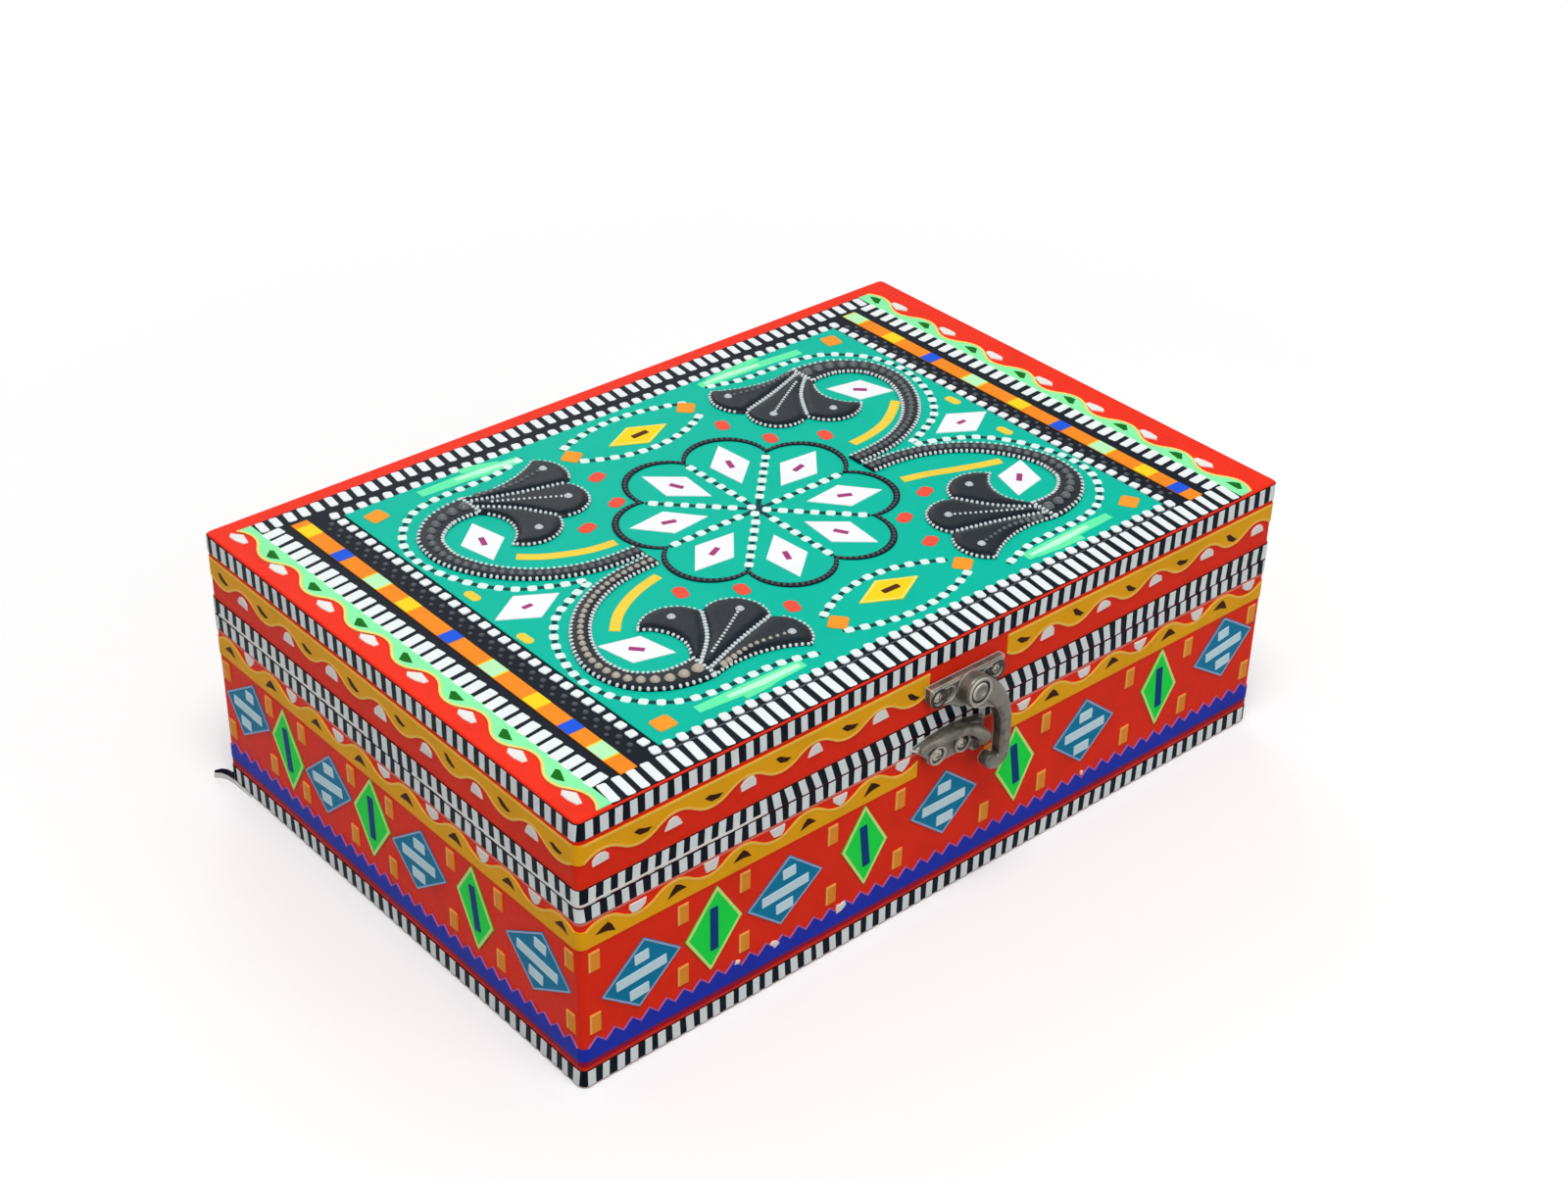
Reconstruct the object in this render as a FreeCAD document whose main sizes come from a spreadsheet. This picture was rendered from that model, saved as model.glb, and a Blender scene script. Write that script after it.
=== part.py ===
"""Small lidded wooden box covered in red film and cut coloured tape, hinged, with a swing-hook latch.

Frame: origin at the middle of the underside, +X to the right, -Y to the front (latch side), +Z up.
"""
import FreeCAD, Part
import math
import os
import Sketcher

Vector = FreeCAD.Vector
doc = FreeCAD.newDocument("tape_ornament_box")

# Driving dimensions in millimetres, each with what it measures
SIZES = [
    ("box_length", 228.6, "outside length over the red film"),
    ("box_width", 152.4, "outside width over the red film"),
    ("base_height", 52.6, "floor to the top of the base"),
    ("lid_height", 23.2, "foot of the lid to the top of its film"),
    ("seam_gap", 0.4, "slit between base and closed lid"),
    ("wall", 6.0, "thickness of the base walls"),
    ("rim", 6.0, "thickness of the lid rims"),
    ("top_panel", 5.0, "thickness of the lid's top board"),
    ("bottom_panel", 4.0, "thickness of the bottom board"),
    ("film", 0.3, "thickness of the red film"),
    ("film_foot", 0.6, "height at which the base film starts"),
    ("corner_radius", 1.6, "rounding of the upright corners over the film"),
    ("top_radius", 0.5, "rounding of the lid's top edges over the film"),
    ("felt", 1.0, "thickness of the felt linings"),
    ("felt_gap", 0.5, "gap between felt and walls"),
    ("tape", 0.25, "thickness of one layer of cut tape"),
    ("strip_height", 4.6, "height of the barred strips on the sides"),
    ("base_strip_height", 4.0, "height of the barred strip at the top of the base"),
    ("lid_band_gap", 1.3, "upper strip of the lid down to its wavy band"),
    ("lid_band_foot", 5.0, "lower strip of the lid up to the lowest waves of its wavy band"),
    ("base_band_gap", 1.0, "upper strip of the base down to the highest waves of its wavy band"),
    ("base_band_depth", 5.0, "mean depth of the base's wavy band"),
    ("wave_pitch", 20.0, "length of one wave of the wavy bands"),
    ("wave_height", 1.8, "half the height of the waves"),
    ("lid_patch", 26.0, "width of the plain patch in the lid's front band"),
    ("base_patch", 31.0, "width of the plain patch in the base's front band"),
    ("patch_shift", 2.2, "latch middle to the middle of the plain patches"),
    ("blue_band_gap", 2.8, "lower strip of the base up to the blue band"),
    ("blue_band_depth", 3.6, "depth of the blue band below its teeth"),
    ("tooth_pitch", 5.0, "length of one tooth of the blue band"),
    ("tooth_height", 2.4, "height of the blue band's teeth"),
    ("blue_diamond_gap", 3.6, "tips of a blue diamond to the bands above and below"),
    ("green_diamond_gap", 1.4, "tips of a green diamond to the bands above and below"),
    ("gold_tab_width", 3.1, "width of a gold tab"),
    ("gold_tab_height", 5.5, "height of a gold tab"),
    ("gold_tab_gap", 1.6, "gold tabs to the bands above and below"),
    ("gold_tab_margin", 0.6, "end of a side's flat to its first gold tab"),
    ("black_sheet_end", 12.0, "end of the box to the black sheet, were it laid in the middle"),
    ("black_sheet_side", 2.9, "long edge of the box to the black sheet, were it laid in the middle"),
    ("sheet_left", 1.75, "middle of the top to the middle of the black sheet, to the left"),
    ("sheet_forward", 2.1, "middle of the top to the middle of the black sheet, to the front"),
    ("field_end", 31.9, "end of the box to the teal field"),
    ("field_side", 13.0, "long edge of the box to the teal field"),
    ("field_left", 1.0, "middle of the top to the middle of the teal field, to the left"),
    ("field_forward", 2.5, "middle of the top to the middle of the teal field, to the front"),
    ("scallop_depth", 4.2, "mean depth of the green scalloped band"),
    ("scallop_pitch", 20.0, "length of one scallop"),
    ("scallop_height", 1.8, "half the height of the scallops"),
    ("orange_band_inset", 19.5, "end of the box to the orange band"),
    ("orange_band_width", 4.6, "width of the orange band"),
    ("orange_band_side", 9.5, "long edge of the box to the ends of the orange band"),
    ("flower_notch", 30.6, "middle of the flower to the notches of its outline"),
    ("flower_reach", 37.8, "middle of the flower to the tips of its outline"),
    ("flower_line", 1.8, "width of the flower's outline"),
    ("petal_rhombus_radius", 23.4, "middle of the flower to the middle of a petal's rhombus"),
    ("rhombus_length", 20.4, "length of a white rhombus"),
    ("rhombus_width", 10.8, "width of a white rhombus"),
    ("curl_rhombus_length", 18.4, "length of a white rhombus in a scroll's curl"),
    ("curl_rhombus_width", 11.2, "width of a white rhombus in a scroll's curl"),
    ("end_rhombus_length", 19.0, "length of a white rhombus at the field's ends"),
    ("end_rhombus_width", 11.6, "width of a white rhombus at the field's ends"),
    ("end_rhombus_gap", 0.9, "end of the field to its white rhombus"),
    ("stem_start", 4.6, "width of a scroll's stem at the flower"),
    ("stem_end", 9.2, "width of a scroll's stem at its leaves"),
    ("leaf_middle", 48.9, "middle of the top to the middle of the yellow diamonds"),
    ("yellow_length", 19.6, "length of a yellow diamond"),
    ("yellow_width", 10.2, "width of a yellow diamond"),
    ("latch_middle", 0.2, "middle of the box to the middle of the latch"),
    ("latch_lift", 10.3, "foot of the lid to the axis of the hook"),
    ("plate_thickness", 1.6, "thickness of the latch plates under the screws"),
    ("plate_rim", 0.8, "height of the upper plate over the hollows round its screws"),
    ("hollow_gap", 0.3, "gap between a screw head and the hollow round it"),
    ("plate_top", 3.2, "hook axis to the straight top of the upper plate"),
    ("plate_wall", 0.7, "width of the upper plate round its hollows"),
    ("plate_lip", 2.2, "width of the upper plate's lobe round the hook's eye"),
    ("plate_screw_spread", 9.6, "hook axis to a screw of the upper plate"),
    ("bevel", 0.5, "bevel of the latch plates"),
    ("eye_radius", 4.0, "radius of the hook's eye"),
    ("eye_height", 3.7, "thickness of the hook at its eye"),
    ("hook_thickness", 3.2, "thickness of the hook's arm"),
    ("hook_arm", 3.6, "width of the hook's arm"),
    ("hook_reach", 10.6, "hook axis to the middle line of the hanging arm"),
    ("hook_drop", 22.4, "hook axis down to the start of the curl"),
    ("curl_radius", 2.4, "middle line radius of the hook's curl"),
    ("hook_round", 0.9, "rounding of the hook's edges"),
    ("rivet_radius", 1.4, "radius of the rivet's shank"),
    ("rivet_head_radius", 2.4, "radius of the rivet's head"),
    ("rivet_head_height", 0.9, "height of the rivet's head"),
    ("running_gap", 0.05, "clearance round turning pins and screws"),
    ("slide_gap", 0.15, "clearance between faces that turn on each other"),
    ("catch_drop", 17.4, "hook axis down to the catch's screws"),
    ("catch_screw_left", 8.5, "latch middle to the catch's left screw"),
    ("catch_screw_pitch", 8.4, "spacing of the catch's screws"),
    ("catch_ear", 2.9, "radius of the catch's ends"),
    ("catch_left", 16.2, "latch middle to the catch's left tip"),
    ("catch_right", 7.6, "latch middle to the catch's right tip"),
    ("arch_tip", 4.2, "catch screws up to the tips of the arch"),
    ("arch_crown", 6.2, "catch screws up to the crown of the arch"),
    ("arch_width", 2.2, "width of the catch's arch"),
    ("arch_height", 2.8, "height of the arch off the box"),
    ("arch_round", 0.6, "rounding of the arch's front edges"),
    ("tail_right", 5.4, "latch middle to the middle of the catch's tail"),
    ("tail_drop", 2.6, "catch screws down to the middle of the catch's tail"),
    ("tail_radius", 2.4, "radius of the catch's tail"),
    ("post_right", 4.3, "latch middle to the middle of the catch's post"),
    ("post_drop", 16.3, "hook axis down to the middle of the catch's post"),
    ("post_radius", 2.0, "radius of the post that the hook closes on"),
    ("post_height", 5.6, "height of the post off the box"),
    ("post_round", 1.2, "rounding of the post's end"),
    ("screw_radius", 0.9, "radius of the screw shanks"),
    ("screw_length", 5.0, "length of the screws below what they hold"),
    ("screw_head_radius", 1.6, "radius of the screw heads"),
    ("screw_head_height", 0.7, "height of the screw heads"),
    ("screw_slot", 0.45, "width of the cross in the screw heads"),
    ("hinge_spread", 62.0, "middle of the box to the middle of a hinge"),
    ("leaf_width", 25.0, "width of a hinge leaf"),
    ("leaf_height", 11.0, "hinge axis to the far edge of a leaf"),
    ("leaf_thickness", 1.0, "thickness of a hinge leaf"),
    ("leaf_corner", 1.5, "rounding of a leaf's far corners"),
    ("barrel_radius", 1.8, "radius of the hinge barrel"),
    ("barrel_gap", 0.3, "gap between the barrel and the box"),
    ("pin_radius", 0.9, "radius of the hinge pin"),
    ("pin_head_radius", 1.4, "radius of the hinge pin's heads"),
    ("knuckle_gap", 0.3, "gap between neighbouring knuckles"),
    ("hinge_screw_spread", 8.0, "hinge middle to its screws"),
    ("hinge_screw_rise", 6.6, "hinge axis to its screws"),
]

sheet = doc.addObject("Spreadsheet::Sheet", "Sizes")
for row, (alias, value, meaning) in enumerate(SIZES, start=1):
    sheet.set(f"A{row}", alias)
    sheet.set(f"B{row}", str(value))
    sheet.set(f"C{row}", meaning)
    sheet.setAlias(f"B{row}", alias)
doc.recompute()

# Sub-parts that are written out, by label
SUB_PARTS = []


def size(alias):
    """The value of one driving dimension."""
    return float(sheet.get(alias))


def sized(text):
    """An expression in which every @name stands for a cell of the sheet."""
    return text.replace("@", "Sizes.")


def bind(thing, **expressions):
    """Binds properties of an object; a double underscore stands for a dot."""
    for name, text in expressions.items():
        thing.setExpression(name.replace("__", "."), sized(text))


def place(thing, x="0", y="0", z="0"):
    bind(thing, Placement__Base__x=x, Placement__Base__y=y, Placement__Base__z=z)


def sub_part(thing, label):
    """Marks an object as a piece of the box."""
    thing.Label = label
    SUB_PARTS.append(thing)
    return thing


# Solids used for building: sketches, bodies, booleans


def plane(body, role):
    return next(f for f in body.Origin.OriginFeatures if f.Role == role)


def sketch_on(body, role, name):
    sketch = body.newObject("Sketcher::SketchObject", name)
    sketch.AttachmentSupport = [(plane(body, role), "")]
    sketch.MapMode = "FlatFace"
    return sketch


def line(x0, y0, x1, y1):
    return Part.LineSegment(Vector(x0, y0, 0), Vector(x1, y1, 0))


def arc(start, middle, end):
    return Part.Arc(Vector(*start, 0), Vector(*middle, 0), Vector(*end, 0))


def circle(x, y, radius):
    return Part.Circle(Vector(x, y, 0), Vector(0, 0, 1), radius)


def polygon(points):
    """The closed run of straight lines through some points."""
    return [line(*a, *b) for a, b in zip(points, points[1:] + points[:1])]


def rhombus(x, y, along, across, turn=0.0):
    """A rhombus whose diagonals are along and across, turned about its middle."""
    ux, uy = math.cos(turn), math.sin(turn)
    tips = [(along / 2, 0), (0, across / 2), (-along / 2, 0), (0, -across / 2)]
    return polygon([(x + a * ux - b * uy, y + a * uy + b * ux) for a, b in tips])


def rectangle(x0, y0, x1, y1):
    return polygon([(x0, y0), (x1, y0), (x1, y1), (x0, y1)])


def centred_rectangle(sketch, length, width):
    """A rectangle about the sketch's origin, with its two sides bound to the sheet."""
    sketch.addGeometry(rectangle(-2, -1, 2, 1))
    for side in range(4):
        sketch.addConstraint(Sketcher.Constraint("Coincident", side, 2, (side + 1) % 4, 1))
    for side in (0, 2):
        sketch.addConstraint(Sketcher.Constraint("Horizontal", side))
    for side in (1, 3):
        sketch.addConstraint(Sketcher.Constraint("Vertical", side))
    sketch.addConstraint(Sketcher.Constraint("Symmetric", 0, 1, 2, 1, -1, 1))
    across = sketch.addConstraint(Sketcher.Constraint("DistanceX", 0, 1, 0, 2, 4.0))
    up = sketch.addConstraint(Sketcher.Constraint("DistanceY", 1, 1, 1, 2, 2.0))
    sketch.setExpression(f"Constraints[{across}]", sized(length))
    sketch.setExpression(f"Constraints[{up}]", sized(width))


def pad(body, sketch, length, symmetric=False):
    feature = body.newObject("PartDesign::Pad", sketch.Name + "_pad")
    feature.Profile = sketch
    bind(feature, Length=length)
    if symmetric:
        feature.SideType = "Symmetric"
    doc.recompute()
    return feature


def pocket(body, sketch, length=None, symmetric=False, reverse=False):
    """Cuts a sketch out of a body, and checks that something was cut away."""
    before = body.Shape.Volume
    feature = body.newObject("PartDesign::Pocket", sketch.Name + "_pocket")
    feature.Profile = sketch
    feature.Reversed = reverse
    if symmetric:
        feature.SideType = "Symmetric"
    if length is None:
        feature.Type = "ThroughAll"
    else:
        bind(feature, Length=length)
    doc.recompute()
    if not body.Shape.Volume < before - 1e-6:
        raise RuntimeError(f"{sketch.Name} cuts nothing")
    return feature


def edge_names(shape, wanted):
    return [f"Edge{i}" for i, edge in enumerate(shape.Edges, start=1) if wanted(edge)]


def edge_feature(body, kind, base, wanted, size_name, expression):
    """A fillet or chamfer on the edges of the base feature that are wanted."""
    feature = body.newObject(f"PartDesign::{kind}", f"{base.Name}_{kind.lower()}")
    feature.Base = (base, edge_names(base.Shape, wanted))
    bind(feature, **{size_name: expression})
    doc.recompute()
    return feature


def is_upright(edge):
    box = edge.BoundBox
    return box.ZLength > 1e-6 and box.XLength < 1e-6 and box.YLength < 1e-6


def rounded_block(name, length, width, low, high, radius, top_radius=None):
    """A block about the upright axis with rounded upright edges, and rounded top edges if asked."""
    body = doc.addObject("PartDesign::Body", name)
    sketch = sketch_on(body, "XY_Plane", name + "_outline")
    centred_rectangle(sketch, length, width)
    block = pad(body, sketch, f"({high}) - ({low})")
    block = edge_feature(body, "Fillet", block, is_upright, "Radius", radius)
    if top_radius:
        top = block.Shape.BoundBox.ZMax

        def on_top(edge):
            return abs(edge.BoundBox.ZMin - top) < 1e-6

        edge_feature(body, "Fillet", block, on_top, "Radius", top_radius)
    place(body, z=low)
    return body


def boolean(kind, name, base, tool):
    thing = doc.addObject(f"Part::{kind}", name)
    thing.Base = base
    thing.Tool = tool
    return thing


def compound(label, things):
    """One node made of several separate solids."""
    group = doc.addObject("Part::Compound", label)
    group.Links = things
    return sub_part(group, label)


# Envelopes of the box: outside of the red film, and outside of the boards

OUTSIDE = ("@box_length", "@box_width")
BOARDS = ("@box_length - 2 * @film", "@box_width - 2 * @film")
LID_FOOT = "(@base_height + @seam_gap)"
BOX_TOP = "(@base_height + @seam_gap + @lid_height)"
LATCH_RISE = "(@base_height + @seam_gap + @latch_lift)"
BOARD_RADIUS = "@corner_radius - @film"

base_outside = rounded_block("base_outside", *OUTSIDE, "@film_foot", "@base_height", "@corner_radius")
base_core = rounded_block("base_core", *BOARDS, "0", "@base_height", BOARD_RADIUS)
lid_outside = rounded_block("lid_outside", *OUTSIDE, LID_FOOT, BOX_TOP,
                            "@corner_radius", "@top_radius")
lid_core = rounded_block("lid_core", *BOARDS, LID_FOOT, f"{BOX_TOP} - @film",
                         BOARD_RADIUS, "@top_radius - @film")


# Screw holes and screws, made first because the boards and films are drilled for them

FRONT_FACE = "-@box_width / 2 - @tape"
BACK_FACE = "@box_width / 2 + @tape"
HINGE_AXIS_RISE = "@base_height + @seam_gap / 2"
PLATE_SCREWS = [(f"@latch_middle + {side} * @plate_screw_spread", LATCH_RISE) for side in (-1, 1)]
CATCH_SCREWS = [(f"@latch_middle - @catch_screw_left + {step} * @catch_screw_pitch",
                 f"{LATCH_RISE} - @catch_drop") for step in (0, 1)]
HINGES = [("left", -1), ("right", 1)]


def hinge_screws(up):
    """Places of the hinge screws on the lid (up = 1) or on the base (up = -1)."""
    return [(f"{side} * @hinge_spread + {step} * @hinge_screw_spread",
             f"{HINGE_AXIS_RISE} + ({up}) * @hinge_screw_rise")
            for _, side in HINGES for step in (-1, 1)]


# Reach of the cross in a screw's head, as a share of the head's radius
CROSS_REACH = 0.62


def cap_middle(radius, height):
    """A point half-way over a spherical cap: its distance from the axis and its height."""
    sphere = (radius ** 2 + height ** 2) / (2 * height)
    turn = math.asin(radius / sphere) / 2
    return sphere * math.sin(turn), height - sphere * (1 - math.cos(turn))


def make_screw(name, held):
    """A round-headed screw with a cross; its head seats at the origin and points along +Z."""
    body = doc.addObject("PartDesign::Body", name)
    head, tall = size("screw_head_radius"), size("screw_head_height")
    shank, deep = size("screw_radius"), size("screw_length") + size(held)
    brim = tall / 4
    dome_out, dome_up = cap_middle(head, tall - brim)
    profile = sketch_on(body, "XZ_Plane", name + "_profile")
    profile.addGeometry([
        line(0, -deep, shank, -deep + shank),
        line(shank, -deep + shank, shank, 0),
        line(shank, 0, head, 0),
        line(head, 0, head, brim),
        arc((head, brim), (dome_out, brim + dome_up), (0, tall)),
        line(0, tall, 0, -deep),
    ])
    turned = body.newObject("PartDesign::Revolution", name + "_turned")
    turned.Profile = profile
    turned.ReferenceAxis = (profile, ["V_Axis"])
    doc.recompute()
    slot = size("screw_slot") / 2
    reach = head * CROSS_REACH
    cross = sketch_on(body, "XY_Plane", name + "_cross")
    cross.AttachmentOffset = FreeCAD.Placement(Vector(0, 0, tall / 2), FreeCAD.Rotation())
    cross.addGeometry(polygon([
        (-reach, -slot), (-slot, -slot), (-slot, -reach), (slot, -reach), (slot, -slot), (reach, -slot),
        (reach, slot), (slot, slot), (slot, reach), (-slot, reach), (-slot, slot), (-reach, slot)]))
    pocket(body, cross, "@screw_head_height", reverse=True)
    return body


def screw_group(label, screw, places, face, outward):
    """Copies of one screw on the front (outward = -1) or back (outward = 1) of the box."""
    links = []
    for number, (x, z) in enumerate(places, start=1):
        link = doc.addObject("App::Link", f"{label}_{number}")
        link.LinkedObject = screw
        link.LinkTransform = True
        link.Placement = FreeCAD.Placement(Vector(), FreeCAD.Rotation(Vector(1, 0, 0), -90 * outward))
        place(link, x, face, z)
        links.append(link)
    return compound(label, links)


def drill(label, places, face, outward, deep):
    """Pilot holes for screws, as solids to be cut away."""
    holes = []
    for number, (x, z) in enumerate(places, start=1):
        hole = doc.addObject("Part::Cylinder", f"{label}_{number}")
        bind(hole, Radius="@screw_radius + @running_gap", Height=f"{deep} + @screw_length + @slide_gap")
        hole.Placement = FreeCAD.Placement(Vector(), FreeCAD.Rotation(Vector(1, 0, 0), 90 * outward))
        place(hole, x, face, z)
        holes.append(hole)
    group = doc.addObject("Part::Compound", label)
    group.Links = holes
    return group


PLATE_FRONT = f"{FRONT_FACE} - @plate_thickness"
LEAF_FRONT = f"{BACK_FACE} + @leaf_thickness"
lid_drill_front = drill("lid_drill_front", PLATE_SCREWS, PLATE_FRONT, -1, "@plate_thickness")
base_drill_front = drill("base_drill_front", CATCH_SCREWS, PLATE_FRONT, -1, "@plate_thickness")
lid_drill_back = drill("lid_drill_back", hinge_screws(1), LEAF_FRONT, 1, "@leaf_thickness")
base_drill_back = drill("base_drill_back", hinge_screws(-1), LEAF_FRONT, 1, "@leaf_thickness")


# Boards of the base and the lid

HALF_X = "(@box_length / 2 - @film)"
HALF_Y = "(@box_width / 2 - @film)"
TOP_UNDER = f"{BOX_TOP} - @film - @top_panel"


def between(half, inset="0"):
    """The two planes at a distance from the middle, drawn in by an inset."""
    return f"-({half} - ({inset}))", f"{half} - ({inset})"


def along_edge(half, side, thickness):
    """The two faces of a board that stands against the low (side = -1) or high (side = 1) edge."""
    outer, inner = f"{side} * {half}", f"{side} * ({half} - {thickness})"
    return (outer, inner) if side < 0 else (inner, outer)


def drilled(thing, drills):
    for tool in drills:
        thing = boolean("Cut", f"{thing.Name}_drilled", thing, tool)
    return thing


def board(label, x, y, z, core, drills=()):
    """A flat board between two planes each way, rounded to the envelope and drilled."""
    blank = doc.addObject("Part::Box", label + "_blank")
    bind(blank, Length=f"({x[1]}) - ({x[0]})", Width=f"({y[1]}) - ({y[0]})", Height=f"({z[1]}) - ({z[0]})")
    place(blank, x[0], y[0], z[0])
    return sub_part(drilled(boolean("Common", label + "_rounded", blank, core), drills), label)


def four_boards(prefix, suffix, thickness, z, core, front_drill, back_drill):
    """Front and back boards run the whole length, left and right ones stand between them."""
    for name, side, tool in (("front", -1, front_drill), ("back", 1, back_drill)):
        y = along_edge(HALF_Y, side, thickness)
        board(f"{prefix}_{name}_{suffix}", between(HALF_X), y, z, core, [tool])
    for name, side in (("left", -1), ("right", 1)):
        x = along_edge(HALF_X, side, thickness)
        board(f"{prefix}_{name}_{suffix}", x, between(HALF_Y, thickness), z, core)


def lining(label, wall, z, core):
    inset = f"{wall} + @felt_gap"
    board(label, between(HALF_X, inset), between(HALF_Y, inset), z, core)


four_boards("base", "wall", "@wall", ("0", "@base_height"), base_core, base_drill_front, base_drill_back)
board("base_bottom_panel", between(HALF_X, "@wall"), between(HALF_Y, "@wall"), ("0", "@bottom_panel"),
      base_core)
lining("base_floor_lining", "@wall", ("@bottom_panel", "@bottom_panel + @felt"), base_core)

four_boards("lid", "rim", "@rim", (LID_FOOT, TOP_UNDER), lid_core, lid_drill_front, lid_drill_back)
board("lid_top_panel", between(HALF_X), between(HALF_Y), (TOP_UNDER, f"{BOX_TOP} - @film"), lid_core)
lining("lid_lining", "@rim", (f"{TOP_UNDER} - @felt", TOP_UNDER), lid_core)


# Red film round the base and over the lid, and black tape strips run round the box

BASE_DRILLS = [base_drill_front, base_drill_back]
LID_DRILLS = [lid_drill_front, lid_drill_back]


def covering(label, outside, core, drills):
    sub_part(drilled(boolean("Cut", label + "_film", outside, core), drills), label)


def strip(label, low, height, outside, drills):
    """A ring of tape round the four sides."""
    ring = rounded_block(label + "_ring", "@box_length + 2 * @tape", "@box_width + 2 * @tape",
                         low, f"{low} + {height}", "@corner_radius + @tape")
    sub_part(drilled(boolean("Cut", label + "_band", ring, outside), drills), label)


covering("base_covering", base_outside, base_core, BASE_DRILLS)
covering("lid_covering", lid_outside, lid_core, LID_DRILLS)
strip("base_lower_strip", "@film_foot", "@strip_height", base_outside, BASE_DRILLS)
strip("base_upper_strip", "@base_height - @base_strip_height", "@base_strip_height", base_outside,
      BASE_DRILLS)
strip("lid_lower_strip", LID_FOOT, "@strip_height", lid_outside, LID_DRILLS)
strip("lid_upper_strip", f"{BOX_TOP} - @top_radius - @strip_height", "@strip_height", lid_outside,
      LID_DRILLS)


# Cut tape: flat outlines of one tape thickness

# Name of the side, its turn about the upright axis, its length and the place of its middle
SIDES = [
    ("front", 0, "box_length", "0", "-@box_width / 2"),
    ("right", 90, "box_width", "@box_length / 2", "0"),
    ("back", 180, "box_length", "0", "@box_width / 2"),
    ("left", 270, "box_width", "-@box_length / 2", "0"),
]


def tape_from(sketch, name):
    """Tape cut to the closed outlines of a sketch."""
    piece = doc.addObject("Part::Extrusion", name)
    piece.Base = sketch
    piece.DirMode = "Normal"
    piece.Solid = True
    piece.FaceMakerClass = "Part::FaceMakerBullseye"
    bind(piece, LengthFwd="@tape")
    return piece


def cut_tape(name, outlines):
    sketch = doc.addObject("Sketcher::SketchObject", name + "_outline")
    for outline in outlines:
        sketch.addGeometry(outline)
    return sketch, tape_from(sketch, name)


def side_tape(label, draw, drills=()):
    """Tape on all four sides; draw gives the outlines for a side from its name and flat length."""
    pieces = []
    for name, turn, length, x, y in SIDES:
        flat = size(length) - 2 * size("corner_radius")
        sketch, piece = cut_tape(f"{label}_{name}", draw(name, flat))
        upright = FreeCAD.Rotation(Vector(1, 0, 0), 90)
        sketch.Placement = FreeCAD.Placement(Vector(), FreeCAD.Rotation(Vector(0, 0, 1), turn) * upright)
        place(sketch, x, y)
        pieces.append(drilled(piece, drills))
    return compound(label, pieces)


# Middles of the black sheet with its bands and of the teal field, both laid a little off the top's middle
SHEET_MIDDLE = ("-@sheet_left", "-@sheet_forward")
FIELD_MIDDLE = ("-@field_left", "-@field_forward")


def top_tape(label, outlines, layer, middle):
    """Tape on the lid's top, on the given layer of tape above the film."""
    sketch, piece = cut_tape(label, outlines)
    place(sketch, *middle, f"{BOX_TOP} + {layer} * @tape")
    return sub_part(piece, label)


def top_sheet(label, end_inset, side_inset, layer, middle):
    """A rectangular sheet of tape on the lid's top."""
    sketch = doc.addObject("Sketcher::SketchObject", label + "_outline")
    centred_rectangle(sketch, f"@box_length - 2 * {end_inset}", f"@box_width - 2 * {side_inset}")
    place(sketch, *middle, f"{BOX_TOP} + {layer} * @tape")
    return sub_part(tape_from(sketch, label), label)


def waved_band(start, end, straight, depth, height, pitch):
    """A band along x with one straight edge, and waves of arcs on the edge at depth from it."""
    count = max(1, round(2 * (end - start) / pitch))
    step = (end - start) / count
    mean = straight + depth
    band = [
        line(end, mean, end, straight),
        line(end, straight, start, straight),
        line(start, straight, start, mean),
    ]
    for number in range(count):
        x = start + number * step
        swing = height if number % 2 == 0 else -height
        band.append(arc((x, mean), (x + step / 2, mean + swing), (x + step, mean)))
    return band


def toothed_band(start, end, straight, depth, height, pitch):
    """A band along x with one straight edge and a zigzag edge."""
    count = max(1, round((end - start) / pitch))
    step = (end - start) / count
    points = [(end, straight), (start, straight), (start, straight + depth)]
    for number in range(count):
        x = start + number * step
        points += [(x + step / 2, straight + depth + height), (x + step, straight + depth)]
    return polygon(points)


def runs(name, flat, patch):
    """The stretches of a side that a band covers: all of it, or both sides of the patch at the latch."""
    if name != "front":
        return [(-flat / 2, flat / 2)]
    middle, half = size("latch_middle") + size("patch_shift"), size(patch) / 2
    return [(-flat / 2, middle - half), (middle + half, flat / 2)]


# How each run of the wavy bands starts, side by side as they were laid: 1 with a wave up, -1 with a wave down
LID_STARTS = {"front": (1, -1), "right": (-1,), "back": (1,), "left": (-1,)}
BASE_STARTS = {"front": (1, -1), "right": (1,), "back": (1,), "left": (1,)}


def draw_lid_bands(name, flat):
    top = size("base_height") + size("seam_gap") + size("lid_height")
    straight = top - size("top_radius") - size("strip_height") - size("lid_band_gap")
    foot = size("base_height") + size("seam_gap") + size("strip_height") + size("lid_band_foot")
    depth = straight - foot - size("wave_height")
    return [waved_band(a, b, straight, -depth, first * size("wave_height"), size("wave_pitch"))
            for (a, b), first in zip(runs(name, flat, "lid_patch"), LID_STARTS[name])]


def red_field():
    """The heights between which the diamonds lie: top of the blue band's teeth, foot of the wavy band."""
    low = blue_band_rise() + size("blue_band_depth") + size("tooth_height")
    waves = size("base_height") - size("base_strip_height") - size("base_band_gap") - size("wave_height")
    return low, waves - size("base_band_depth")


def blue_band_rise():
    return size("film_foot") + size("strip_height") + size("blue_band_gap")


def draw_base_bands(name, flat):
    straight = red_field()[1]
    depth = size("base_band_depth")
    return [waved_band(a, b, straight, depth, first * size("wave_height"), size("wave_pitch"))
            for (a, b), first in zip(runs(name, flat, "base_patch"), BASE_STARTS[name])]


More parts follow.
